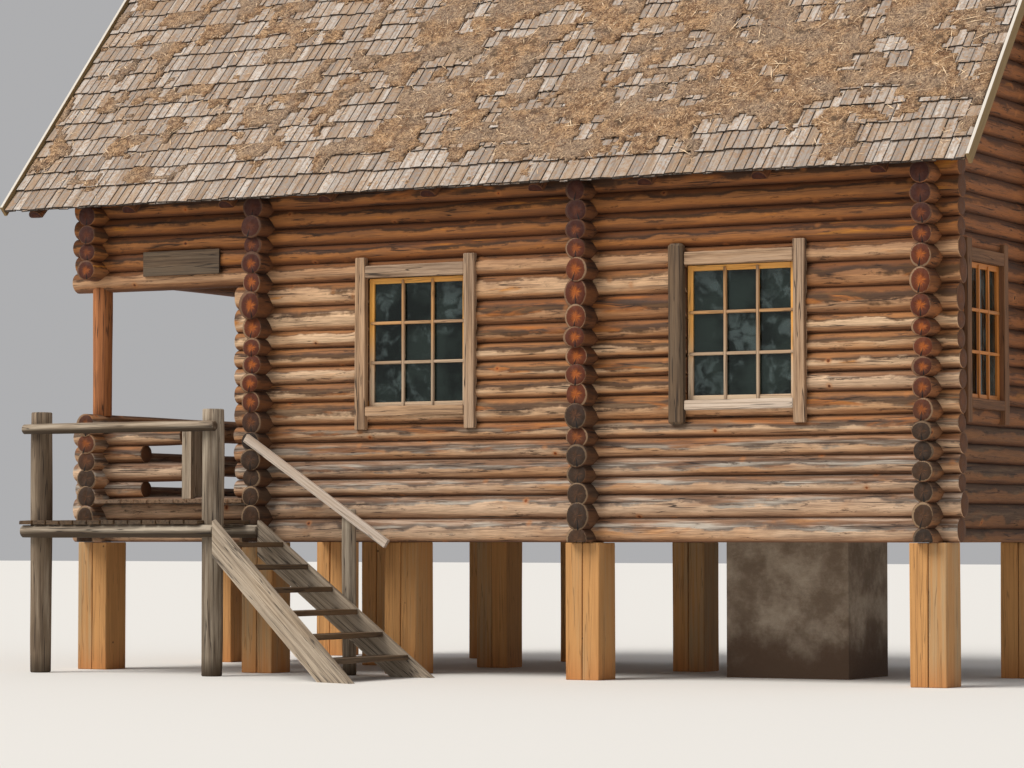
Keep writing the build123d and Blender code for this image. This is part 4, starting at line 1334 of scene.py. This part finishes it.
# %% Both slopes
for back, side in ((False, "front"), (True, "back")):
    node = side + "_roof_slope"
    cover = needle_cover(95 + back)
    deck(back, 91 + back).build(side + "_roof_deck", sawn["casing_boards"], "shingle_roof", node)
    shingles(back, 93 + back).build(side + "_shingles", shingle_wood, "shingle_roof", node)
    litter(cover, back).build(side + "_needle_litter", litter_finish, "shingle_roof", node)
    needles(cover, back, 97 + back).build(side + "_loose_needles", needle_finish, "shingle_roof", node)

# %% [markdown]
# ## Stove foundation
#
# The foundation between the piers is rendered masonry, stained from below. Its solid is already the right
# block, so it keeps its mesh, and gets rounded edges and a patchy, pitted finish.

# %% Masonry
block = Maker("stained_masonry")
blotch = block.noise(block.spot(), 2.4, 6.0, 0.65)
pits = block.noise(block.spot(), 38.0)
dry = block.mix(blotch.step(0.35, 0.65), (120, 104, 88), (172, 158, 140))
above_stain = (block.spot().part(2) + blotch * 0.6).step(0.4, 0.9)
masonry = block.finish(block.mix(above_stain, (88, 70, 56), dry), 0.92, block.bump(pits + blotch, 0.01))
foundation = nodes["stove_foundation"]
foundation.data.materials.clear()
foundation.data.materials.append(masonry)
bevelled(foundation, 0.012, 3)
print("stained masonry on", foundation.name)

# %% [markdown]
# ## Floor, light and camera
#
# The cabin stands in a plain studio: a pale floor, a pale surround, and one soft sun from the front left,
# which leaves the gable a little darker. The camera stands low to the right of the front wall's end.


# %% Studio
def in_scene(name, data):
    """Adds an object to the scene."""
    made = bpy.data.objects.new(name, data)
    bpy.context.scene.collection.objects.link(made)
    return made


def aimed(direction):
    """The turn that points an object's own view or light along a direction."""
    return Vector(direction).to_track_quat("-Z", "Y").to_euler()


reach = 120.0
floor_mesh = bpy.data.meshes.new("studio_floor")
floor_corners = [(-reach, -reach, 0), (reach, -reach, 0), (reach, reach, 0), (-reach, reach, 0)]
floor_mesh.from_pydata(floor_corners, [], [(0, 1, 2, 3)])
floor_mesh.materials.append(Maker("studio_floor").finish((226, 224, 220), 0.9))
floor = in_scene("studio_floor", floor_mesh)

sun_data = bpy.data.lights.new("studio_sun", "SUN")
sun_data.energy, sun_data.angle = 3.0, radians(35)
sun_data.color = (1.0, 0.96, 0.9)
sun = in_scene("studio_sun", sun_data)
sun.rotation_euler = aimed((0.42, 0.5, -0.76))

world = bpy.data.worlds.new("studio_world")
bpy.context.scene.world = world
world.use_nodes = True
background = world.node_tree.nodes["Background"]
background.inputs["Color"].default_value = paint((236, 236, 238))
background.inputs["Strength"].default_value = 0.5
print("studio", floor.name, sun.name)

# %% Camera
camera_data = bpy.data.cameras.new("studio_camera")
camera_data.lens = 121.09
camera_data.sensor_width = 36.0
camera_data.clip_end = 500.0
camera = in_scene("studio_camera", camera_data)
camera.location = Vector((right_x, front_y, 0.0)) + Vector((10.553, -26.921, 1.245))
rise = radians(2.546)
camera.rotation_euler = aimed((-0.4756 * cos(rise), 0.8797 * cos(rise), sin(rise)))
bpy.context.scene.camera = camera
bpy.context.scene.view_settings.view_transform = "Standard"
print("camera at", [round(part, 2) for part in camera.location])
